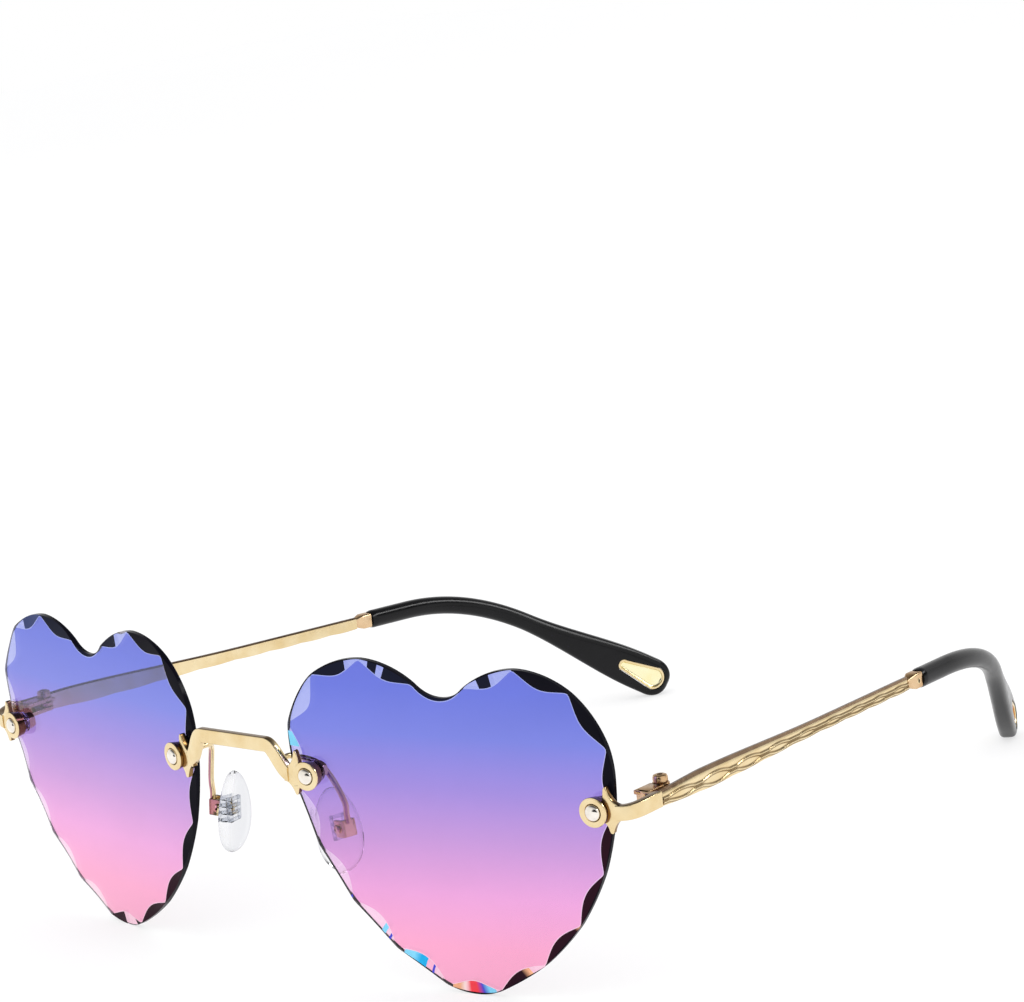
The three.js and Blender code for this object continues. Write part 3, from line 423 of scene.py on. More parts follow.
class Paint(Nodes):
    """A Principled material and the nodes behind it."""

    def __init__(self, name, **sockets):
        self.material = bpy.data.materials.new(name)
        self.material.use_nodes = True
        super().__init__(self.material.node_tree)
        self.shader = self.first("BSDF_PRINCIPLED")
        for key, value in sockets.items():
            self.shader.inputs[key.replace("_", " ")].default_value = value

    def spot(self):
        return self.node("TexCoord").outputs["Object"]

    def noise(self, scale, detail=3):
        return self.node("TexNoise", {"Scale": scale, "Detail": detail, "Vector": self.spot()}).outputs["Fac"]

    def blend(self, share, a, b, mode="MIX"):
        return self.node("Mix", {"Factor": share, 6: a, 7: b}, data_type="RGBA", blend_type=mode).outputs[2]

    def tone(self):
        return self.node("Attribute", attribute_name="tone").outputs["Color"]

    def into(self, value, socket):
        self.link(value, self.shader.inputs[socket])

    def speckle(self, scale, a, b, most=1):
        """Base colour that drifts between two colours."""
        self.into(self.blend(self.spread(self.noise(scale), 0, most), a, b), "Base Color")

    def rough(self, scale, low, high):
        self.into(self.spread(self.noise(scale), low, high), "Roughness")

    def bump(self, scale, detail, strength):
        grain = self.noise(scale, detail)
        bump = self.node("Bump", {"Strength": strength, "Distance": BUMP_DEPTH, "Height": grain})
        self.into(bump.outputs["Normal"], "Normal")

    def height(self, vector, start, end):
        """How far a place is up, or how far a surface looks up."""
        return self.spread(self.node("SeparateXYZ", {0: vector}).outputs["Z"], 0, 1, start, end)


# How far up gold looks where its painted shade starts and is full, the ripple's least share, and how far the painted
# shade of clear rims reaches in
SHADE_START, SHADE_FULL, RIPPLE, FACING_BLEND = 0.55, 0.95, 0.97, 0.35


def gold_paint(name, pale, deep, shade, rough):
    paint = Paint(name, Metallic=1.0)
    colour = paint.blend(paint.spread(paint.noise(260), 0, 1), pale, deep)
    # Faces that look up get the shade colour: painted shade, standing in for a dark reflection from above
    up_shade_mask = paint.height(paint.node("NewGeometry").outputs["Normal"], SHADE_START, SHADE_FULL)
    colour = paint.blend(up_shade_mask, colour, shade)
    paint.into(paint.blend(1.0, colour, paint.tone(), "MULTIPLY"), "Base Color")
    paint.rough(900, rough, rough + 0.1)
    paint.bump(5000, 2, 0.08)
    return paint


# Each gold: two colours that drift at random, the painted shade of faces that look up, and its roughness
GOLD = gold_paint("gold", "f3e0b6", "e8ce9b", "6a5230", 0.16)
# Gold for the temple's top edges, painted brown as a dark reflection from above: painted reflection
REFLECTION_BAND = gold_paint("gold_reflection_band", "a58a6e", "8a7058", "5e4836", 0.22)
HINGE_GOLD = gold_paint("gold_hinge", "eccfa8", "cda578", "a88458", 0.2)
# The inlay's dish is one gold, painted amber on its outer face and pale on its inner face: painted reflections
AMBER_REFLECTION = gold_paint("gold_dish", "d8923a", "b8701e", "c8923a", 0.12)
PALE_REFLECTION = gold_paint("gold_dish_pale", "fff8d4", "fbeeb4", "f0d88a", 0.12)

STEEL = Paint("steel", Metallic=1.0)
STEEL.speckle(700, "fbf6ee", "ece5da")
STEEL.rough(1500, 0.07, 0.14)
STEEL.bump(6000, 2, 0.06)

BLACK = Paint("black_plastic", IOR=1.5, Specular_IOR_Level=0.22)
BLACK.speckle(120, "08080a", "101012")
BLACK.rough(600, 0.14, 0.24)
BLACK.bump(2500, 4, 0.06)

# Lens colour by height: blue at the top, through violet to pink at the point
TINT = ((0.0, "ffadce"), (0.14, "ffaad1"), (0.30, "efa5de"), (0.46, "c896da"), (0.62, "9f87dc"), (0.78, "767fe0"),
        (0.92, "6371db"), (1.0, "5e6bd7"))
HEIGHT = (LOBE_HEIGHT + LOBE_RADIUS) * MM

LENS = Paint("lens_tint", Roughness=0.02, IOR=1.5, Transmission_Weight=1.0)
ramp = LENS.node("ValToRGB", {"Fac": LENS.height(LENS.spot(), 0, HEIGHT)})
while len(ramp.color_ramp.elements) < len(TINT):
    ramp.color_ramp.elements.new(0.5)
for element, (at, code) in zip(ramp.color_ramp.elements, TINT):
    element.position = at
    element.color = (*linear(code), 1)
ripple = LENS.spread(LENS.noise(90), RIPPLE, 1.0)
LENS.into(LENS.blend(1.0, ramp.outputs["Color"], ripple, "MULTIPLY"), "Base Color")

# The cut facets: painted light in clear glass, and painted shade and rainbow glints in an opaque material
PAINTED_LIGHT_CUT = Paint("lens_cut_painted_light", Roughness=0.03, IOR=1.5, Transmission_Weight=1.0)
PAINTED_LIGHT_CUT.speckle(400, PAINTED_LIGHT_CUT.tone(), PLAIN, 0.25)

PAINTED_SHADE_AND_GLINT_CUT = Paint("lens_cut_painted_shade_and_glint", IOR=1.5, Specular_IOR_Level=0.05)
PAINTED_SHADE_AND_GLINT_CUT.speckle(300, PAINTED_SHADE_AND_GLINT_CUT.tone(), (0.01, 0.006, 0.014), 0.15)
PAINTED_SHADE_AND_GLINT_CUT.rough(900, 0.08, 0.2)


def clear_paint(name, middle, rim, rough, index):
    paint = Paint(name, IOR=index, Transmission_Weight=1.0)
    # Where the surface turns edge-on, the colour goes over to the rim colour: painted shade
    facing = paint.node("LayerWeight", {"Blend": FACING_BLEND})
    paint.into(paint.blend(facing.outputs["Facing"], middle, rim), "Base Color")
    paint.rough(500, rough, rough + 0.06)
    paint.bump(900, 3, 0.05)
    return paint


# Each clear piece: its middle colour, its rim colour of painted shade, its roughness and its index
CLEAR = clear_paint("clear_plastic", "ffffff", "aaaebb", 0.04, 1.2)
CLEAR_HARD = clear_paint("clear_hard", "eceef2", "b0b4bc", 0.06, 1.2)
CLEAR_CORE = clear_paint("clear_core", "eceef2", "b2b6be", 0.05, 1.06)


# Lenses. A cut facet shows painted bars of light, shade and rainbow glints that stand in for light refracted through
# the cut. Each bar has the share of the facet where it ends, its material (L painted light, D painted shade and
# glints) and its colour. A number in place of the colour is the share of white in the lens's own colour.

# The cuts' painted colours: the dark ones painted shade, the bright ones painted glints of refracted rainbow light,
# and MIST a wall painted pale
NAVY, PLUM, SHADE_BLACK, SLATE = (0.006, 0.008, 0.02), (0.02, 0.004, 0.01), (0.003, 0.003, 0.006), linear("303c66")
CYAN, SKY, BLUE, RED, ORANGE, WHITE, MIST = (
    linear(c) for c in ("22aee8", "84d4f4", "4a4ccc", "f24650", "f0b088", "fff4fa", "b4b0bc"))
L, D = 1, 2


def one_bar(facets, *cut):
    """Facets that are a single bar."""
    return dict.fromkeys(facets, ((1, *cut),))


LEFT_CUTS = {
    0: ((0.1, L, 0.7), (0.26, D, ORANGE), (0.36, D, WHITE), (0.6, D, RED), (0.72, D, BLUE), (0.9, D, SKY),
        (1, L, 0.9)),
    1: ((0.6, D, PLUM), (0.72, D, ORANGE), (1, L, 0.8)), 2: ((0.94, D, PLUM), (1, D, ORANGE)),
    **one_bar((3, 4), D, PLUM), **one_bar((5, 6, 7), D, SHADE_BLACK),
    8: ((0.45, L, 0.9), (0.72, D, NAVY), (1, L, 1)), 9: ((1, D, NAVY),),
    10: ((0.55, D, NAVY), (0.68, L, 0.8), (0.85, D, NAVY), (1, L, 1)), 11: ((0.3, L, 0.9), (1, D, NAVY)),
    12: ((1, L, 0.9),), 13: ((0.12, L, 0.7), (0.36, D, SKY), (1, L, 0.9)), 14: ((1, L, 0.6),),
    15: ((0.9, L, 0.8), (0.94, D, BLUE), (1, L, 1)),
    16: ((0.62, L, 1), (0.72, D, SKY), (0.78, L, 1), (0.82, D, BLUE), (1, L, 1)),
    17: ((0.12, L, 1), (0.34, D, SKY), (0.56, D, CYAN), (0.68, L, 0.2), (0.72, D, BLUE), (1, L, 0.9)),
}
RIGHT_CUTS = {
    0: ((0.15, D, PLUM), (0.56, L, 0.8), (1, D, PLUM)),
    **one_bar((1, 2, 3), L, 1), **one_bar((4, 5, 6), L, 0.8),
    7: ((0.35, L, 0.8), (1, D, SLATE)), **one_bar((8, 9), D, NAVY),
    10: ((0.5, D, NAVY), (1, L, 0.9)), **one_bar(range(11, 16), D, SHADE_BLACK),
    **one_bar((16, 17), D, PLUM),
}
# Each lens's painted cuts, its facets whose wall is painted pale, its facets whose painted bars spread onto the face,
# and the share of a facet before its painted dark line
LENS_CUTS = {"left": (LEFT_CUTS, (), range(12, 18), 0.86), "right": (RIGHT_CUTS, range(1, 7), range(1, 7), 1)}
# How far the spreading facets' painted bars reach onto the face, and the width and white share of the painted
# highlight line between face and facets
CUT_SPREAD, RIM_LINE, RIM_HIGHLIGHT_WHITE = 0.6, 0.13, 0.9
BAR_BLUR, BAR_MIDDLE = 0.9, 0.01


def tint_at(height, white):
    """The lens's colour at a height in millimetres, with a share of white."""
    stops, codes = zip(*TINT)
    rows = np.array([linear(c) for c in codes])
    return tuple(white + (1 - white) * np.interp(height * MM / HEIGHT, stops, rows[:, k]) for k in range(3))


def facet_at(steps):
    """The facet at a step along the outline, and the share of that facet."""
    spots = np.asarray(steps) / FACET_STEPS + 0.5
    return spots.astype(int) % FACET_COUNT, spots % 1


def lens_shape(cuts, pale_wall, wide_cuts, shade_line_share):
    shape = Shape()
    count = len(OUTLINE)
    facets, shares = facet_at(np.arange(count))
    scoop = np.maximum(CUSP, np.sin(pi * shares))[:, None]
    bite = facet_bites()[facets][:, None]
    radius = SHANK_BORE + SLEEVE_WALL + BORE_GAP

    def ring(inset, depth):
        flat = OUTLINE + INWARD * inset
        for hole in (INNER_HOLE, OUTER_HOLE):
            away = flat - hole
            far = norm(away, axis=1)[:, None]
            flat = hole + away * np.maximum(1, (radius + HOLE_CLEAR) / far)
        return shape.ring([(x, d, z) for (x, z), d in zip(flat, np.broadcast_to(depth, (count, 1))[:, 0])])

    def cut_at(step):
        facet, at = facet_at(step)
        slot, tone = next((slot, tone) for end, slot, tone in cuts[int(facet)] if at <= end)
        return slot, tone if isinstance(tone, tuple) else tint_at(OUTLINE[int(step) % count][1], tone)

    def bar(i):
        slot = cut_at(i + 0.5)[0]
        near = [[cut_at(k + d) for d in (-BAR_BLUR, BAR_MIDDLE, BAR_BLUR)] for k in (i, i + 1)]
        a, b = (tuple(np.mean([tone for kind, tone in end if kind == slot], axis=0)) for end in near)
        return slot, [a, b, b, a]

    wide = np.isin(facets, list(wide_cuts))[:, None] * CUT_SPREAD
    band = (EDGE_BITE + bite + wide) * scoop
    face_rim = ring(band + RIM_LINE, LENS_FRONT)
    band_rim = ring(band, LENS_FRONT)
    front_rim = ring((EDGE_BITE + bite) * scoop, LENS_FRONT)
    shade_line_rim = ring((EDGE_BITE + bite * (1 - shade_line_share)) * scoop, LENS_FRONT + FACET_DEPTH * shade_line_share * scoop)
    facet_foot = ring(EDGE_BITE * scoop, LENS_FRONT + FACET_DEPTH * scoop)
    back_edge = ring(EDGE_BITE * scoop, LENS_BACK - LENS_EASE)
    back_rim = ring(EDGE_BITE * scoop + LENS_EASE, LENS_BACK)
    # Painted light and shade: a highlight line round the face, the bars of the cut, a dark line at the facet's foot,
    # walls painted pale or dark, and a dark outline along the back edge
    shape.skin(face_rim, band_rim, lambda i: (L, tint_at(OUTLINE[i][1], RIM_HIGHLIGHT_WHITE)))
    shape.skin(band_rim, front_rim, bar)
    shape.skin(front_rim, shade_line_rim, bar)
    if shade_line_share < 1:
        shape.skin(shade_line_rim, facet_foot, lambda i: (D, SHADE_BLACK))
    shape.skin(facet_foot, back_edge, lambda i: (D, MIST if facet_at(i + 0.5)[0] in pale_wall else SHADE_BLACK))
    shape.skin(back_edge, back_rim, lambda i: (D, SHADE_BLACK))
    holes = [[shape.ring([(c[0] + radius * cos(t), depth, c[1] + radius * sin(t)) for t in circle(32)])
              for depth in (LENS_FRONT, LENS_BACK)] for c in (INNER_HOLE, OUTER_HOLE)]
    for front, back in holes:
        shape.skin(front, back)
    for rim, k in ((face_rim, 0), (back_rim, 1)):
        loops = [rim] + [h[k] for h in holes]
        flat = [[Vector((shape.points[i][0], shape.points[i][2], 0)) for i in loop] for loop in loops]
        every = [i for loop in loops for i in loop]
        for corners in geometry.tessellate_polygon(flat):
            shape.face([every[c] for c in corners])
    shape.move(on_lens)
    return shape


# Lens fasteners

PLATE_BACK = LENS_FRONT - SEAT_GAP
PLATE_FRONT = PLATE_BACK - EYELET_THICKNESS
RECESS_FLOOR = PLATE_FRONT + HEAD_RECESS
WASHER_FRONT = LENS_BACK + SEAT_GAP
NUT_FRONT = WASHER_FRONT + WASHER_THICKNESS + SEAT_GAP
NUT_BACK = NUT_FRONT + NUT_THICKNESS
SHANK_BORE = SCREW_RADIUS + BORE_GAP


def at_hole(hole):
    return lambda x, y, z: on_lens(hole[0] + x, y, hole[1] + z)


def dome(radius, rise, rim, steps=8):
    return [(radius * sin(t), rim - rise * cos(t)) for t in np.linspace(PIN, pi / 2, steps)]


def screw_shape(hole):
    under = RECESS_FLOOR - SEAT_GAP
    shank = [(SCREW_HEAD_RADIUS, under), (SCREW_RADIUS, under), (SCREW_RADIUS, NUT_BACK - SHANK_EASE),
             (SCREW_RADIUS - SHANK_EASE, NUT_BACK)]
    return lathe(Shape(), dome(SCREW_HEAD_RADIUS, SCREW_HEAD_RISE, PLATE_FRONT) + shank, at_hole(hole))


def tyre(bore, outer, front, back, ease):
    return [(bore, front), (outer - ease, front), (outer, front + ease), (outer, back - ease), (outer - ease, back),
            (bore, back), (bore, front)]


def ring_shape(hole, *sizes):
    return lathe(Shape(), tyre(*sizes), at_hole(hole))


def nut_shape(hole):
    place = at_hole(hole)
    steps = 36
    turns = circle(steps)
    flat = NUT_WIDTH / 2
    hexagon = np.array([flat / cos((t + pi / 6) % (pi / 3) - pi / 6) for t in turns])
    domed = np.minimum(hexagon, flat * NUT_CROWN)
    bore = np.full(steps, SHANK_BORE)
    rows = ((bore, NUT_FRONT), (domed, NUT_FRONT), (hexagon, NUT_FRONT + NUT_FRONT_EASE),
            (hexagon, NUT_BACK - NUT_BACK_EASE), (domed, NUT_BACK), (bore + NUT_BORE_EASE, NUT_BACK),
            (bore, NUT_BACK - NUT_BORE_EASE))
    rings = [[place(r * cos(t), y, r * sin(t)) for r, t in zip(radii, turns)] for radii, y in rows]
    return Shape().loft(rings, False)


# Bridge and end pieces

STAR_REACH = EYELET_RADIUS + STRIP_HEIGHT - STRIP_LAP
STRIP_MIDDLE = PLATE_BACK - STRIP_THICKNESS / 2


def star_outline():
    r, half, reach = EYELET_RADIUS, STRIP_HEIGHT / 2, EYELET_RADIUS + STRIP_HEIGHT
    ear = lambda x, y: (r * x, EAR_RISE * y)
    neck = ear(*STAR_NECK)
    low = [ear(x, -y) for x, y in LOWER_EAR]
    high = [ear(x, y) for x, y in UPPER_EAR]
    pieces = [
        bezier((neck[0], -neck[1]), low[0], low[1], steps=8),
        bezier(low[1], low[2], low[3], steps=8),
        bezier(low[3], (r * EAR_ROOT[0], -half), (reach, -half), steps=12),
        bezier((reach, half), (r * EAR_ROOT[1], half), high[0], steps=12),
        bezier(high[0], high[1], high[2], steps=8),
        bezier(high[2], neck, steps=5),
    ]
    start = atan2(neck[1], neck[0])
    inner = norm(neck)
    arc = [(inner * cos(t), inner * sin(t)) for t in np.linspace(start, -start, 14)[1:-1]]
    points = np.vstack([*pieces, arc])
    keep = [i for i in range(len(points)) if norm(points[i] - points[i - 1]) > POINT_GAP]
    return points[keep]


def add_eyelet(shape, hole, flip):
    recess = SCREW_HEAD_RADIUS + BORE_GAP
    lip = [(recess + out, PLATE_FRONT + back) for out, back in EYELET_LIP]
    rim = [(EYELET_RADIUS - inset, PLATE_FRONT + back) for inset, back in EYELET_RIM]
    place = at_hole(hole)
    # The eyelet's recess and outer wall get painted shade
    lathe(shape, [(SHANK_BORE, RECESS_FLOOR), (recess, RECESS_FLOOR), *lip, *rim,
                  (EYELET_RADIUS - EYELET_TAPER, PLATE_BACK), (SHANK_BORE, PLATE_BACK), (SHANK_BORE, RECESS_FLOOR)],
          place, 56, lambda k, i: (0, EDGE_SHADE if k in EYELET_SHADE_ROWS else PLAIN))
    outline = star_outline()
    if flip:
        outline = (outline * (-1, 1))[::-1]
    plate(shape, outline, PLATE_BACK - EAR_THICKNESS, PLATE_BACK, EAR_EASE, place)


def sweep(shape, path, heights):
    """A flat strip with rounded edges along a path, with its height at each step."""
    shape.loft([section(centre, way, rounded(STRIP_THICKNESS, height, STRIP_EASE))
                for centre, way, height in zip(*along(path, len(heights)), heights)])


def bridge_path():
    foot = on_lens(INNER_HOLE[0] - STAR_REACH, STRIP_MIDDLE, INNER_HOLE_HEIGHT)
    shoulder = np.array((LENS_GAP / 2 - BRIDGE_SHOULDER_INSET, -BRIDGE_OFFSET, INNER_HOLE_HEIGHT + BRIDGE_RISE))
    step = foot[0] - shoulder[0]
    side = bezier(foot, foot - (step * FOOT_EASE, 0, 0), shoulder + (step * SHOULDER_EASE, 0, 0), shoulder)
    return np.concatenate([side, side[::-1] * (-1, 1, 1)])


def bridge_shape():
    shape = Shape()
    sweep(shape, bridge_path(), [STRIP_HEIGHT] * 120)
    for side in (1, -1):
        start = len(shape.points)
        add_eyelet(shape, INNER_HOLE, True)
        shape.move(lambda x, y, z: as_is(side * x, y, z), start)
    return shape


def at_hinge(x, y, z):
    return np.array((HINGE[0] + x, HINGE[1] - z, y))


def add_knuckle(shape, row, slot):
    foot = BARREL_FOOT + row * (KNUCKLE_HEIGHT + HINGE_GAP)
    profile = tyre(HINGE_SCREW_RADIUS + BORE_GAP, KNUCKLE_RADIUS, foot, foot + KNUCKLE_HEIGHT, KNUCKLE_EASE)
    lathe(shape, profile, at_hinge, 36, lambda k, i: (slot, PLAIN))


def as_is(x, y, z):
    return np.array((x, y, z))


def end_piece_shape():
    shape = Shape()
    start = on_lens(OUTER_HOLE[0] + STAR_REACH, STRIP_MIDDLE, OUTER_HOLE_HEIGHT)
    outward = np.array((cos(WRAP), sin(WRAP), 0))
    end = JOINT - TEMPLE_WAY * HINGE_GAP
    path = bezier(start, start + outward * (end[0] - start[0]) * SWEEP_OUT,
                  end - TEMPLE_WAY * (end[1] - start[1]) * SWEEP_BACK, end)
    sweep(shape, path, np.linspace(STRIP_HEIGHT, TEMPLE_FRONT, 60))
    add_eyelet(shape, OUTER_HOLE, False)
    inner, outer = HINGE[0] - KNUCKLE_RADIUS, JOINT[0] - TEMPLE_THICKNESS / 2 + LEAF_LAP
    front, back = JOINT[1] - LEAF_LENGTH, JOINT[1] - HINGE_GAP - LEAF_LAP
    leaf = []
    for depth, width, ease in LEAF_ROWS:
        wide = (outer - inner) * width
        corners = rounded(wide - 2 * ease, BARREL_HEIGHT - 2 * ease, LEAF_EASE)
        leaf.append([(outer - wide / 2 + x, front + (back - front) * depth, JOINT[2] + z) for x, z in corners])
    shape.loft(leaf, True, lambda r, i: (1, PLAIN))
    reach = HINGE[1] - back + LEAF_LAP - HINGE_SCREW_RADIUS
    for row in (0, 2):
        middle = BARREL_FOOT + row * (KNUCKLE_HEIGHT + HINGE_GAP) + KNUCKLE_HEIGHT / 2
        brick(shape, (2 * KNUCKLE_RADIUS, reach, KNUCKLE_HEIGHT),
              (HINGE[0], back - LEAF_LAP + reach / 2 - KNUCKLE_SINK, middle), as_is, KNUCKLE_EASE, (1, PLAIN))
        add_knuckle(shape, row, 1)
    return shape


def hinge_screw_shape():
    seat = BARREL_FOOT + BARREL_HEIGHT + SEAT_GAP
    top, r, head = seat + HINGE_HEAD_HEIGHT, HINGE_SCREW_RADIUS, HINGE_HEAD_RADIUS
    ease, shoulder, floor = HINGE_HEAD_CHAMFER, HINGE_HEAD_CHAMFER * HEAD_SHOULDER, top - SOCKET_DEPTH
    outside = [(r - PIN_EASE, BARREL_FOOT), (r, BARREL_FOOT + PIN_EASE), (r, seat), (head - HEAD_EASE, seat),
               (head, seat + PIN_EASE), (head, top - ease), (head - shoulder, top - shoulder), (head - ease, top)]
    socket = [(SOCKET_RADIUS, top), (SOCKET_RADIUS - PIN, floor), (PIN, floor)]
    # The socket gets painted shade
    return lathe(Shape(), outside + socket, at_hinge, 40,
                 lambda k, i: (0, SOCKET_SHADE if k >= len(outside) else PLAIN))


# Temples

def bar_height(distance):
    swell = TEMPLE_LENGTH * SWELL_AT
    front = TEMPLE_FRONT + (TEMPLE_SWELL - TEMPLE_FRONT) * smooth(distance / swell)
    fall = smooth((distance - swell) / (TEMPLE_LENGTH * SWELL_END - swell))
    return front + (TEMPLE_REAR - front) * fall


# Corners of a bar's section: the painted dark reflection band along its upper edge, and the first corner of its outer
# face
BAND_CORNERS, FACE_START, FACE_STEPS = (1, 2, 3), 5, 44


def bar_ring(distance, spread):
    """One section of the braided bar, and how dark each stretch of its outer face is painted: shade in the grooves at
    the strands' edges.
    """
    h, t, half = bar_height(distance) / 2, TEMPLE_THICKNESS / 2, STRAND_WIDTH / 2
    band_top = h * BEVEL_FOOT
    middle = (band_top - h) / 2
    swing = max(half + STRAND_PARTING / 2, (band_top - middle - half) * spread)
    face, inside = t - STRAND_RISE, BAR_CHAMFER - t
    bottom = EDGE_SCALLOP * (1 - spread) - h - STRAND_PARTING
    levels = np.linspace(band_top + STRAND_PARTING, bottom + STRAND_PARTING, FACE_STEPS)
    near = abs(abs(levels - middle) - swing)
    bump = np.where(near < half, np.cos(np.clip(near / half, 0, 1) * pi / 2) ** 2, 0)
    shade = 1 - STRAND_SHADE * np.exp(-((near - half * SHADE_AT) / SHADE_WIDTH) ** 2)
    strands = [(face + STRAND_RISE * b, z) for b, z in zip(bump, levels)]
    out, up = strands[0]
    corners = [(-t, bottom), (-t, h - BAR_CHAMFER), (inside, h), (0, h),
               (out * BAND_SHARE, h + (up - h) * BAND_SHARE), *strands, (face - STRAND_PARTING, bottom)]
    return section(JOINT + TEMPLE_WAY * distance, TEMPLE_WAY, corners), shade


def temple_shape():
    shape = Shape()
    span = TEMPLE_LENGTH - COLLAR_LENGTH
    shares = [1 - (1 - BRAID_TAPER) * i / BRAID_COUNT for i in range(BRAID_COUNT)]
    ends = np.concatenate([[0], np.cumsum(shares) / sum(shares) * span])
    stations = [(HINGE_GAP, 0.0)]
    for a, b in zip(ends, ends[1:]):
        for j in range(1, BRAID_STEPS + 1):
            stations.append((a + (b - a) * j / BRAID_STEPS, sin(pi * j / BRAID_STEPS)))
    rings, shades = zip(*(bar_ring(*s) for s in stations))

    def paint(r, i):
        # The top edges take the painted reflection band, and the outer face the painted shade of the grooves
        if i in BAND_CORNERS:
            return 1, PLAIN
        k = i - FACE_START
        if 0 <= k < FACE_STEPS - 1:
            dark = np.mean([s[k:k + 2] for s in shades[r:r + 2]])
            return 0, (dark, dark ** GREEN_POWER, dark ** BLUE_POWER)
        return 0, PLAIN

    shape.loft(rings, True, paint)
    back, flare, ease = TEMPLE_LENGTH - SEAT_GAP, COLLAR_LENGTH * COLLAR_FLARE, 2 * COLLAR_EASE
    rows = ((span - COLLAR_CHAMFER, TEMPLE_REAR - 2 * COLLAR_CHAMFER, TEMPLE_THICKNESS - STRAND_RISE),
            (span + flare * WAIST_AT, COLLAR_HEIGHT * WAIST_HEIGHT, COLLAR_THICKNESS * WAIST_THICKNESS),
            (span + flare, COLLAR_HEIGHT, COLLAR_THICKNESS), (back - COLLAR_EASE, COLLAR_HEIGHT, COLLAR_THICKNESS),
            (back, COLLAR_HEIGHT - ease, COLLAR_THICKNESS - ease))
    shape.loft([section(JOINT + TEMPLE_WAY * d, TEMPLE_WAY, rounded(t, h, COLLAR_ROUND)) for d, h, t in rows], True,
               lambda r, i: (2, PLAIN))
    outward, up = across(TEMPLE_WAY)
    spot = JOINT + TEMPLE_WAY * (TEMPLE_LENGTH - COLLAR_LENGTH * DOT_AT) + outward * (COLLAR_THICKNESS / 2 + DOT_RISE)
    # The dot's middle gets painted shade, as in a hole
    lathe(shape, DOT_PROFILE, lambda x, y, z: spot + TEMPLE_WAY * x + outward * y + up * z, 20,
          lambda k, i: (0, DOT_SHADE if k == 0 else PLAIN))
    core, ways = along(TIP_PATH, np.linspace(0, CORE_LENGTH, 40))
    wire = [(CORE_RADIUS * cos(t), CORE_RADIUS * sin(t)) for t in circle(16)]
    rings = [section(c, w, wire) for c, w in zip(core, ways)]
    shape.loft([[p - TEMPLE_WAY * COLLAR_LENGTH / 2 for p in rings[0]], *rings])
    inner = HINGE[0] - LEAF_LAP + HINGE_SCREW_RADIUS + BORE_GAP
    outer = JOINT[0] - TEMPLE_THICKNESS / 2 + LEAF_LAP
    foot = BARREL_FOOT + KNUCKLE_HEIGHT + HINGE_GAP
    brick(shape, (outer - inner, 2 * KNUCKLE_RADIUS, KNUCKLE_HEIGHT),
          ((outer + inner) / 2, HINGE[1] + KNUCKLE_RADIUS, foot + KNUCKLE_HEIGHT / 2), as_is, KNUCKLE_EASE, (2, PLAIN))
    add_knuckle(shape, 1, 2)
    return shape


# Tips and their inlays

TIP_START = JOINT + TEMPLE_WAY * TEMPLE_LENGTH
TIP_KNEE = TIP_START + TEMPLE_WAY * TIP_STRAIGHT
curl, drop = radians(TIP_CURL), radians(TIP_DROP)
TIP_WAY = np.array((-sin(curl) * cos(drop), cos(curl) * cos(drop), -sin(drop)))
TIP_END = TIP_KNEE + TIP_WAY * TIP_REACH
TIP_CURVE = bezier(TIP_KNEE - TEMPLE_WAY * TIP_BEND, TIP_KNEE, TIP_KNEE + TIP_WAY * TIP_BEND, steps=200)
TIP_PATH = np.vstack([TIP_START, TIP_CURVE, TIP_END])
TIP_LENGTH = length_of(TIP_PATH)
PADDLE_MIDDLE = TIP_LENGTH - INLAY_RIM - INLAY_LENGTH / 2


def tip_size(distance):
    start = TIP_LENGTH * FLARE_START
    flare = smooth((distance - start) / (PADDLE_MIDDLE - start))
    left = TIP_LENGTH - distance
    rounding = lambda r: sqrt(max(0, 1 - ((r - left) / r) ** 2)) if left < r else 1
    height = (TIP_HEIGHT + (PADDLE_HEIGHT - TIP_HEIGHT) * flare) * rounding(PADDLE_HEIGHT / 2)
    thickness = (TIP_THICKNESS + (PADDLE_THICKNESS - TIP_THICKNESS) * flare) * rounding(PADDLE_THICKNESS / 2)
    return height, thickness, TIP_ROUNDNESS + (PADDLE_ROUNDNESS - TIP_ROUNDNESS) * flare


def teardrop(margin, steps=20):
    big, small = INLAY_HEIGHT / 2 + margin, INLAY_NOSE + margin
    big_at, small_at = INLAY_LENGTH / 2 - INLAY_HEIGHT / 2, INLAY_NOSE - INLAY_LENGTH / 2
    lean = asin((big - small) / (big_at - small_at))
    arcs = ((big_at, big, lean - pi / 2, pi / 2 - lean), (small_at, small, pi / 2 - lean, 3 * pi / 2 + lean))
    return [(x + r * cos(t), r * sin(t)) for x, r, start, end in arcs for t in np.linspace(start, end, steps)]


def on_paddle():
    centre, way = spot_on(TIP_PATH, PADDLE_MIDDLE)
    outward, up = across(way)
    return lambda x, y, z: centre + way * x + outward * y + up * z


def tip_shape():
    shape = Shape()
    cap = TIP_LENGTH - PADDLE_HEIGHT / 2
    stations = list(np.linspace(0, cap, 110))
    stations += [cap + PADDLE_HEIGHT / 2 * sin(t) for t in np.linspace(0, pi / 2 - TIP_END_STOP, 16)[1:]]
    centres, ways = along(TIP_PATH, np.array(stations))
    rings = []
    for d, c, w in zip(stations, centres, ways):
        height, thickness, power = tip_size(d)
        ease = TIP_MOUTH_EASE * max(0, 1 - d / TIP_MOUTH)
        height, thickness = height - ease, thickness - ease
        bend = lambda v: copysign(abs(v) ** power, v)
        corners = [(thickness / 2 * bend(cos(t)), height / 2 * bend(sin(t))) for t in circle(56)]
        rings.append(section(c, w, corners))
    shape.loft(rings)
    plug, place = Shape(), on_paddle()
    plug.loft([[place(x, y, z) for x, z in teardrop(BORE_GAP)] for y in (-PADDLE_THICKNESS, PADDLE_THICKNESS)])
    return carved(shape, plug)


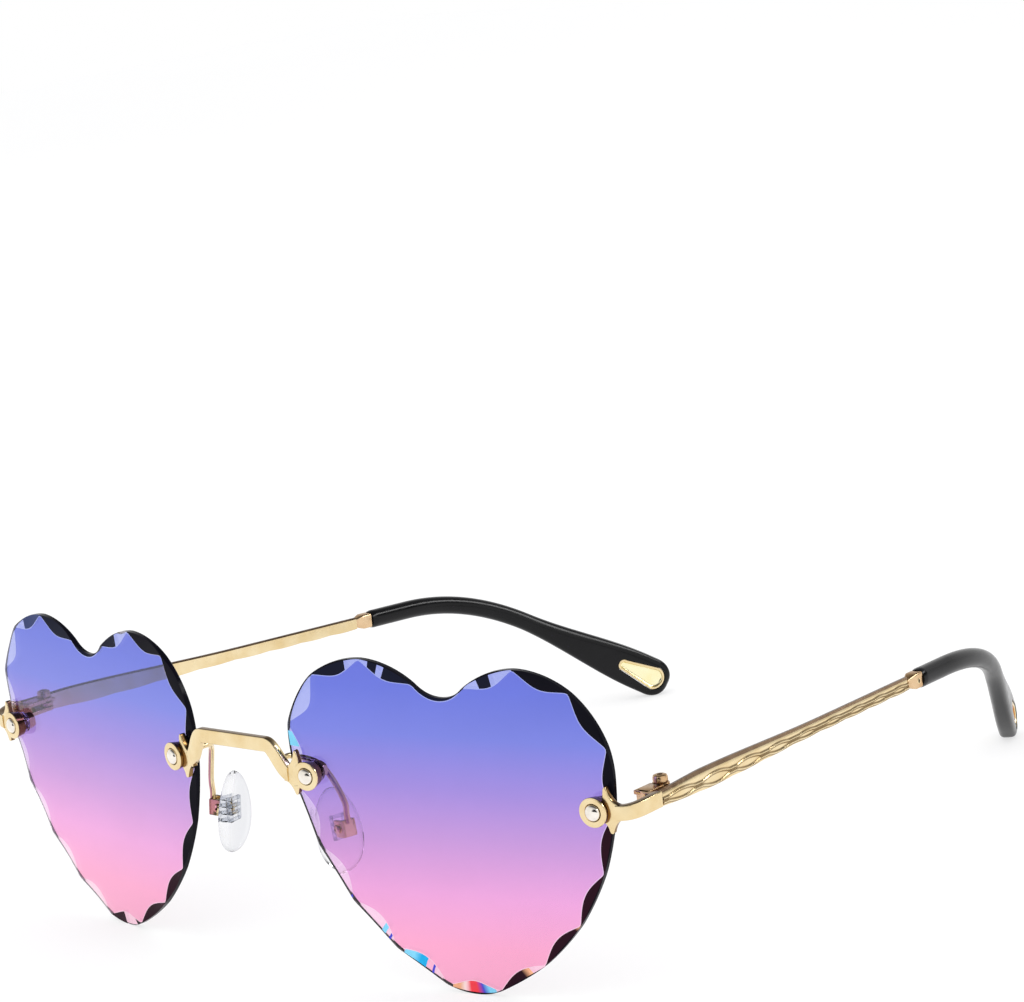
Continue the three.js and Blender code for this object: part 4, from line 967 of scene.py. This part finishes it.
def carved(shape, plug):
    """A mesh shape with a plug cut out of it."""
    pieces = []
    for source in (shape, plug):
        mesh = bpy.data.meshes.new("carving")
        mesh.from_pydata([tuple(p) for p in source.points], [], source.faces)
        mend(mesh)
        pieces.append(put("carving", mesh))
    body, tool = pieces
    cut = body.modifiers.new("cut", "BOOLEAN")
    cut.object = tool
    cut.solver = "EXACT"
    bpy.context.view_layer.update()
    mesh = body.evaluated_get(bpy.context.evaluated_depsgraph_get()).to_mesh()
    left = Shape()
    left.ring([v.co for v in mesh.vertices])
    for polygon in mesh.polygons:
        left.face(polygon.vertices)
    for piece in pieces:
        bpy.data.objects.remove(piece)
    return left


def inlay_shape():
    thin = tip_size(PADDLE_MIDDLE - INLAY_LENGTH / 2)[1] / 2 - INLAY_RECESS
    rows = [(inset, thin - dip) for inset, dip in INLAY_DISH]
    rows += [(inset, -depth) for inset, depth in reversed(rows)]
    place = on_paddle()
    rings = [[place(x, depth, z) for x, z in teardrop(inset)] for inset, depth in rows]
    last = len(rings) - 2
    # The outer dish takes the painted amber reflection, the inner dish the painted pale one
    return Shape().loft(rings, True, lambda r, i: (1 if r < DISH_ROWS else 2 if r > last - DISH_ROWS else 0, PLAIN))


# Nose pads and arms

PAD_CENTRE = np.array((LENS_GAP / 2 + PAD_OUTSET, PAD_SETBACK, INNER_HOLE_HEIGHT - PAD_DROP))
PAD_TURN = np.array(Matrix.Rotation(radians(-PAD_SPLAY), 3, "Z") @ Matrix.Rotation(radians(-PAD_LEAN), 3, "Y"))
PAD_BACK = PAD_THICKNESS / 2
LUG_CENTRE = PAD_BACK + LUG_BORE_REACH
CHEEK_INSIDE = LUG_THICKNESS / 2 + BORE_GAP
CHEEK_OUTSIDE = CHEEK_INSIDE + BOX_WALL
BOX_BACK = PAD_BACK + LUG_LENGTH + BOX_PLAY


def on_pad(x, y, z):
    return PAD_CENTRE + PAD_TURN @ np.array((x, y, z))


def pad_shape():
    return Shape().loft([[on_pad(depth * PAD_BACK, PAD_WIDTH / 2 * scale * (1 - PAD_EGG * sin(t)) * cos(t),
                                 PAD_LENGTH / 2 * scale * sin(t)) for t in circle(56)]
                         for scale, depth in along(PAD_KNOTS, 26)[0]])


def pad_core_shape():
    shape = Shape()
    deep, wide, tall = PAD_PLATE
    middle = PAD_BACK - deep / 2
    for y in (-1, 1):
        brick(shape, (deep, RAIL_WIDTH, tall), (middle, y * (wide - RAIL_WIDTH) / 2, LUG_RISE), on_pad)
    for z in np.linspace(-1, 1, RUNG_COUNT):
        brick(shape, (deep, wide - RUNG_INSET, RUNG_HEIGHT), (middle, 0, LUG_RISE + z * (tall - RUNG_MARGIN) / 2),
              on_pad)
    end = PAD_BACK + LUG_LENGTH
    brick(shape, (end - middle, LUG_THICKNESS, LUG_HEIGHT), ((end + middle) / 2, 0, LUG_RISE), on_pad)
    return shape


def catmull(points, steps=24):
    """A smooth curve through points, with the pace set by the root of their spacing."""
    points = np.asarray(points, float)
    points = np.concatenate([[2 * points[0] - points[1]], points, [2 * points[-1] - points[-2]]])
    out = []
    for k in range(1, len(points) - 2):
        p0, p1, p2, p3 = points[k - 1:k + 3]
        d0, d1, d2 = (norm(b - a) ** 0.5 for a, b in ((p0, p1), (p1, p2), (p2, p3)))
        m1 = ((p1 - p0) / d0 - (p2 - p0) / (d0 + d1) + (p2 - p1) / d1) * d1
        m2 = ((p2 - p1) / d1 - (p3 - p1) / (d1 + d2) + (p3 - p2) / d2) * d1
        for t in np.linspace(0, 1, steps, endpoint=k == len(points) - 3):
            out.append(p1 + (p2 - p1) * smooth(t) + (t**3 - 2 * t**2 + t) * m1 + (t**3 - t**2) * m2)
    return np.array(out)


def tube(shape, path, count, radius, steps=18):
    centres, ways = along(path, count)
    side = unit(np.cross(ways[0], UP))
    rings = []
    for centre, way in zip(centres, ways):
        side = unit(side - way * np.dot(side, way))
        other = np.cross(way, side)
        rings.append([centre + radius * (cos(t) * side + sin(t) * other) for t in circle(steps)])
    shape.loft(rings)


def pad_arm_shape():
    shape = Shape()
    mid = BOX_BACK + BOX_WALL - BOX_LENGTH / 2
    for sign in (-1, 1):
        brick(shape, (BOX_LENGTH, BOX_WALL, BOX_HEIGHT),
              (mid, sign * (CHEEK_INSIDE + CHEEK_OUTSIDE) / 2, LUG_RISE), on_pad)
    brick(shape, (BOX_WALL, 2 * CHEEK_OUTSIDE, BOX_HEIGHT), (BOX_BACK + BOX_WALL / 2, 0, LUG_RISE), on_pad)
    rail = bridge_path()
    spot, way = spot_on(rail, ARM_ROOT * length_of(rail))
    outward, _ = across(way)
    start = spot + outward * (STRIP_THICKNESS / 2 + SEAT_GAP)
    on_box = lambda up: on_pad(BOX_BACK + ARM_RADIUS, 0, LUG_RISE + BOX_HEIGHT / 2 + up)
    over = on_box(2 * ARM_RADIUS)
    bow = np.array(((start[0] + over[0]) / 2, start[1] + ARM_BOW, start[2] - ARM_SINK))
    path = catmull([start, start + outward * ARM_LEAD, bow, over + (0, 0, ARM_SINK), over, on_box(-BOX_WALL)])
    tube(shape, path, 90, ARM_RADIUS)
    return shape


def pad_screw_shape():
    seat = -CHEEK_OUTSIDE - SEAT_GAP
    r, top, end = PAD_SCREW_RADIUS, seat - PAD_HEAD_RISE, CHEEK_OUTSIDE
    socket = [(radius, top + depth) for radius, depth in PAD_SOCKET]
    rim = dome(PAD_HEAD_RADIUS, PAD_HEAD_RISE, seat)[len(socket):]
    # The socket gets painted shade
    return lathe(Shape(), [*socket, *rim, (r, seat), (r, end - PIN_EASE), (r - PIN_EASE, end)],
                 lambda x, y, z: on_pad(LUG_CENTRE + x, y, LUG_RISE + z), 32,
                 lambda k, i: (0, PAD_SOCKET_SHADE if k < len(socket) - 1 else PLAIN))


# Assembly

build("bridge_bar", bridge_shape(), [GOLD], "frame", ["bridge"])
for side_name, side in (("left", 1), ("right", -1)):
    def add(name, shape, paints, body="frame", sharp=SHARP):
        node = f"{name}_{side_name}"
        return build(f"{node}_fine", shape, paints, body, [node], side, sharp)

    temple, pad = f"temple_{side_name}", f"nose_pad_{side_name}"
    add("lens", lens_shape(*LENS_CUTS[side_name]), [LENS, PAINTED_LIGHT_CUT, PAINTED_SHADE_AND_GLINT_CUT], sharp=LENS_SHARP)
    for place, hole in (("inner", INNER_HOLE), ("outer", OUTER_HOLE)):
        add(f"lens_screw_{place}", screw_shape(hole), [STEEL])
        for ring, *sizes in (
                ("sleeve", SHANK_BORE + SLEEVE_WALL, LENS_FRONT, LENS_BACK, SLEEVE_EASE),
                ("washer", WASHER_RADIUS, WASHER_FRONT, WASHER_FRONT + WASHER_THICKNESS, WASHER_EASE)):
            add(f"lens_{ring}_{place}", ring_shape(hole, SHANK_BORE, *sizes), [CLEAR_HARD])
        add(f"lens_nut_{place}", nut_shape(hole), [GOLD])
    add("end_piece", end_piece_shape(), [GOLD, HINGE_GOLD])
    add("hinge_screw", hinge_screw_shape(), [HINGE_GOLD])
    add("temple", temple_shape(), [GOLD, REFLECTION_BAND, HINGE_GOLD], temple, TEMPLE_SHARP)
    add("temple_tip", tip_shape(), [BLACK], temple, TIP_SHARP)
    add("tip_inlay", inlay_shape(), [GOLD, AMBER_REFLECTION, PALE_REFLECTION], temple)
    add("pad_arm", pad_arm_shape(), [GOLD])
    add("pad_screw", pad_screw_shape(), [GOLD])
    add("pad_core", pad_core_shape(), [CLEAR_CORE], pad)
    add("nose_pad", pad_shape(), [CLEAR], pad, PAD_SHARP)


# Studio: a white floor, an even world with dark flags for metal to reflect, and three soft lamps

FLOOR_HALF, FLOOR_WHITE, AMBIENT = 1.4, 0.66, 1.1
FLOOR_PALE, FLOOR_GREY = (0.94, 0.94, 0.95), (0.9, 0.9, 0.91)
# Each flag has its direction, the nearness at which its dark starts and is full, and the white left in it. They
# stand ahead, behind on the left and overhead.
FLAGS = (((0.36, -0.92, -0.14), 0.81, 0.88, 0.01), ((0.6, 0.64, 0.46), 0.9, 0.96, 0.04), ((0, 0, 1), 0.35, 0.8, 0.12))


def white_where_seen(nodes, base, share):
    """Shows plain white to the camera, and to metal and glass, over a share of the lit surface."""
    path = nodes.node("LightPath")
    seen = path.outputs["Is Camera Ray"]
    for ray in ("Is Glossy Ray", "Is Transmission Ray"):
        seen = nodes.combine("MAXIMUM", seen, path.outputs[ray])
    kind = "Background" if base.type == "BACKGROUND" else "Emission"
    glow = nodes.node(kind, {"Color": PLAIN, "Strength": 1})
    part = nodes.combine("MULTIPLY", seen, share)
    mix = nodes.node("MixShader", {0: part, 1: base.outputs[0], 2: glow.outputs[0]})
    nodes.link(mix.outputs[0], nodes.first("OUTPUT_MATERIAL", "OUTPUT_WORLD").inputs["Surface"])
    return glow


floor = put("floor", bpy.data.meshes.new("floor"))
h = FLOOR_HALF
floor.data.from_pydata([(-h, -h, 0), (h, -h, 0), (h, h, 0), (-h, h, 0)], [], [(0, 1, 2, 3)])
floor_paint = Paint("floor_white", Roughness=0.9)
floor_paint.speckle(2, FLOOR_PALE, FLOOR_GREY)
white_where_seen(floor_paint, floor_paint.shader, FLOOR_WHITE)
floor.data.materials.append(floor_paint.material)

world = bpy.data.worlds.new("studio")
bpy.context.scene.world = world
world.use_nodes = True
sky = Nodes(world.node_tree)
ambient = sky.first("BACKGROUND")
ambient.inputs["Color"].default_value = (*PLAIN, 1)
ambient.inputs["Strength"].default_value = AMBIENT
glow = white_where_seen(sky, ambient, 1.0)
way = sky.node("TexCoord").outputs["Generated"]
white = 1
for toward, start, end, least in FLAGS:
    near = sky.node("VectorMath", {0: way, 1: Vector(toward).normalized()}, operation="DOT_PRODUCT")
    white = sky.combine("MULTIPLY", white, sky.spread(near.outputs["Value"], 1, least, start, end))
mirrored = sky.node("Mix", {"Factor": sky.node("LightPath").outputs["Is Glossy Ray"], 2: 1, 3: white})
sky.link(mirrored.outputs[0], glow.inputs["Strength"])


def lamp(name, place, target, size, watts, mirrored=False):
    """A soft lamp that lights surfaces, or one that is only seen in metal and gloss."""
    data = bpy.data.lights.new(name, "AREA")
    data.shape = "RECTANGLE"
    data.size, data.size_y = size
    data.energy = watts
    light = put(name, data)
    light.location = place
    light.rotation_euler = (Vector(target) - Vector(place)).to_track_quat("-Z", "Y").to_euler()
    light.visible_glossy, light.visible_diffuse = mirrored, not mirrored


lamp("softbox_top", (0.1, -0.1, 0.9), target=(0, 0, 0.02), size=(0.9, 0.9), watts=2.2)
lamp("softbox_strip", (0.8, 0.5, 0.75), target=(0, 0, 0.03), size=(1.1, 0.2), watts=6.0, mirrored=True)
lamp("softbox_front", (-0.5, -0.9, 0.5), target=(0, 0, 0.03), size=(0.6, 0.6), watts=1.5)

# Camera at the photograph's lower view
AZIMUTH, ELEVATION, ROLL = (radians(a) for a in (43.46, 12.04, 6.98))
FOCAL_PIXELS, IMAGE_WIDTH, SENSOR_WIDTH = 3558.5, 1024, 36
CAMERA_PLACE = (0.4006, -0.4281, 0.1836)
eye = bpy.data.cameras.new("camera")
eye.sensor_width = SENSOR_WIDTH
eye.lens = FOCAL_PIXELS * SENSOR_WIDTH / IMAGE_WIDTH
camera = put("camera", eye)
camera.matrix_world = (Matrix.Translation(CAMERA_PLACE) @ Matrix.Rotation(AZIMUTH, 4, "Z")
                       @ Matrix.Rotation(pi / 2 - ELEVATION, 4, "X") @ Matrix.Rotation(-ROLL, 4, "Z"))
bpy.context.scene.camera = camera
bpy.context.scene.view_settings.view_transform = "Standard"
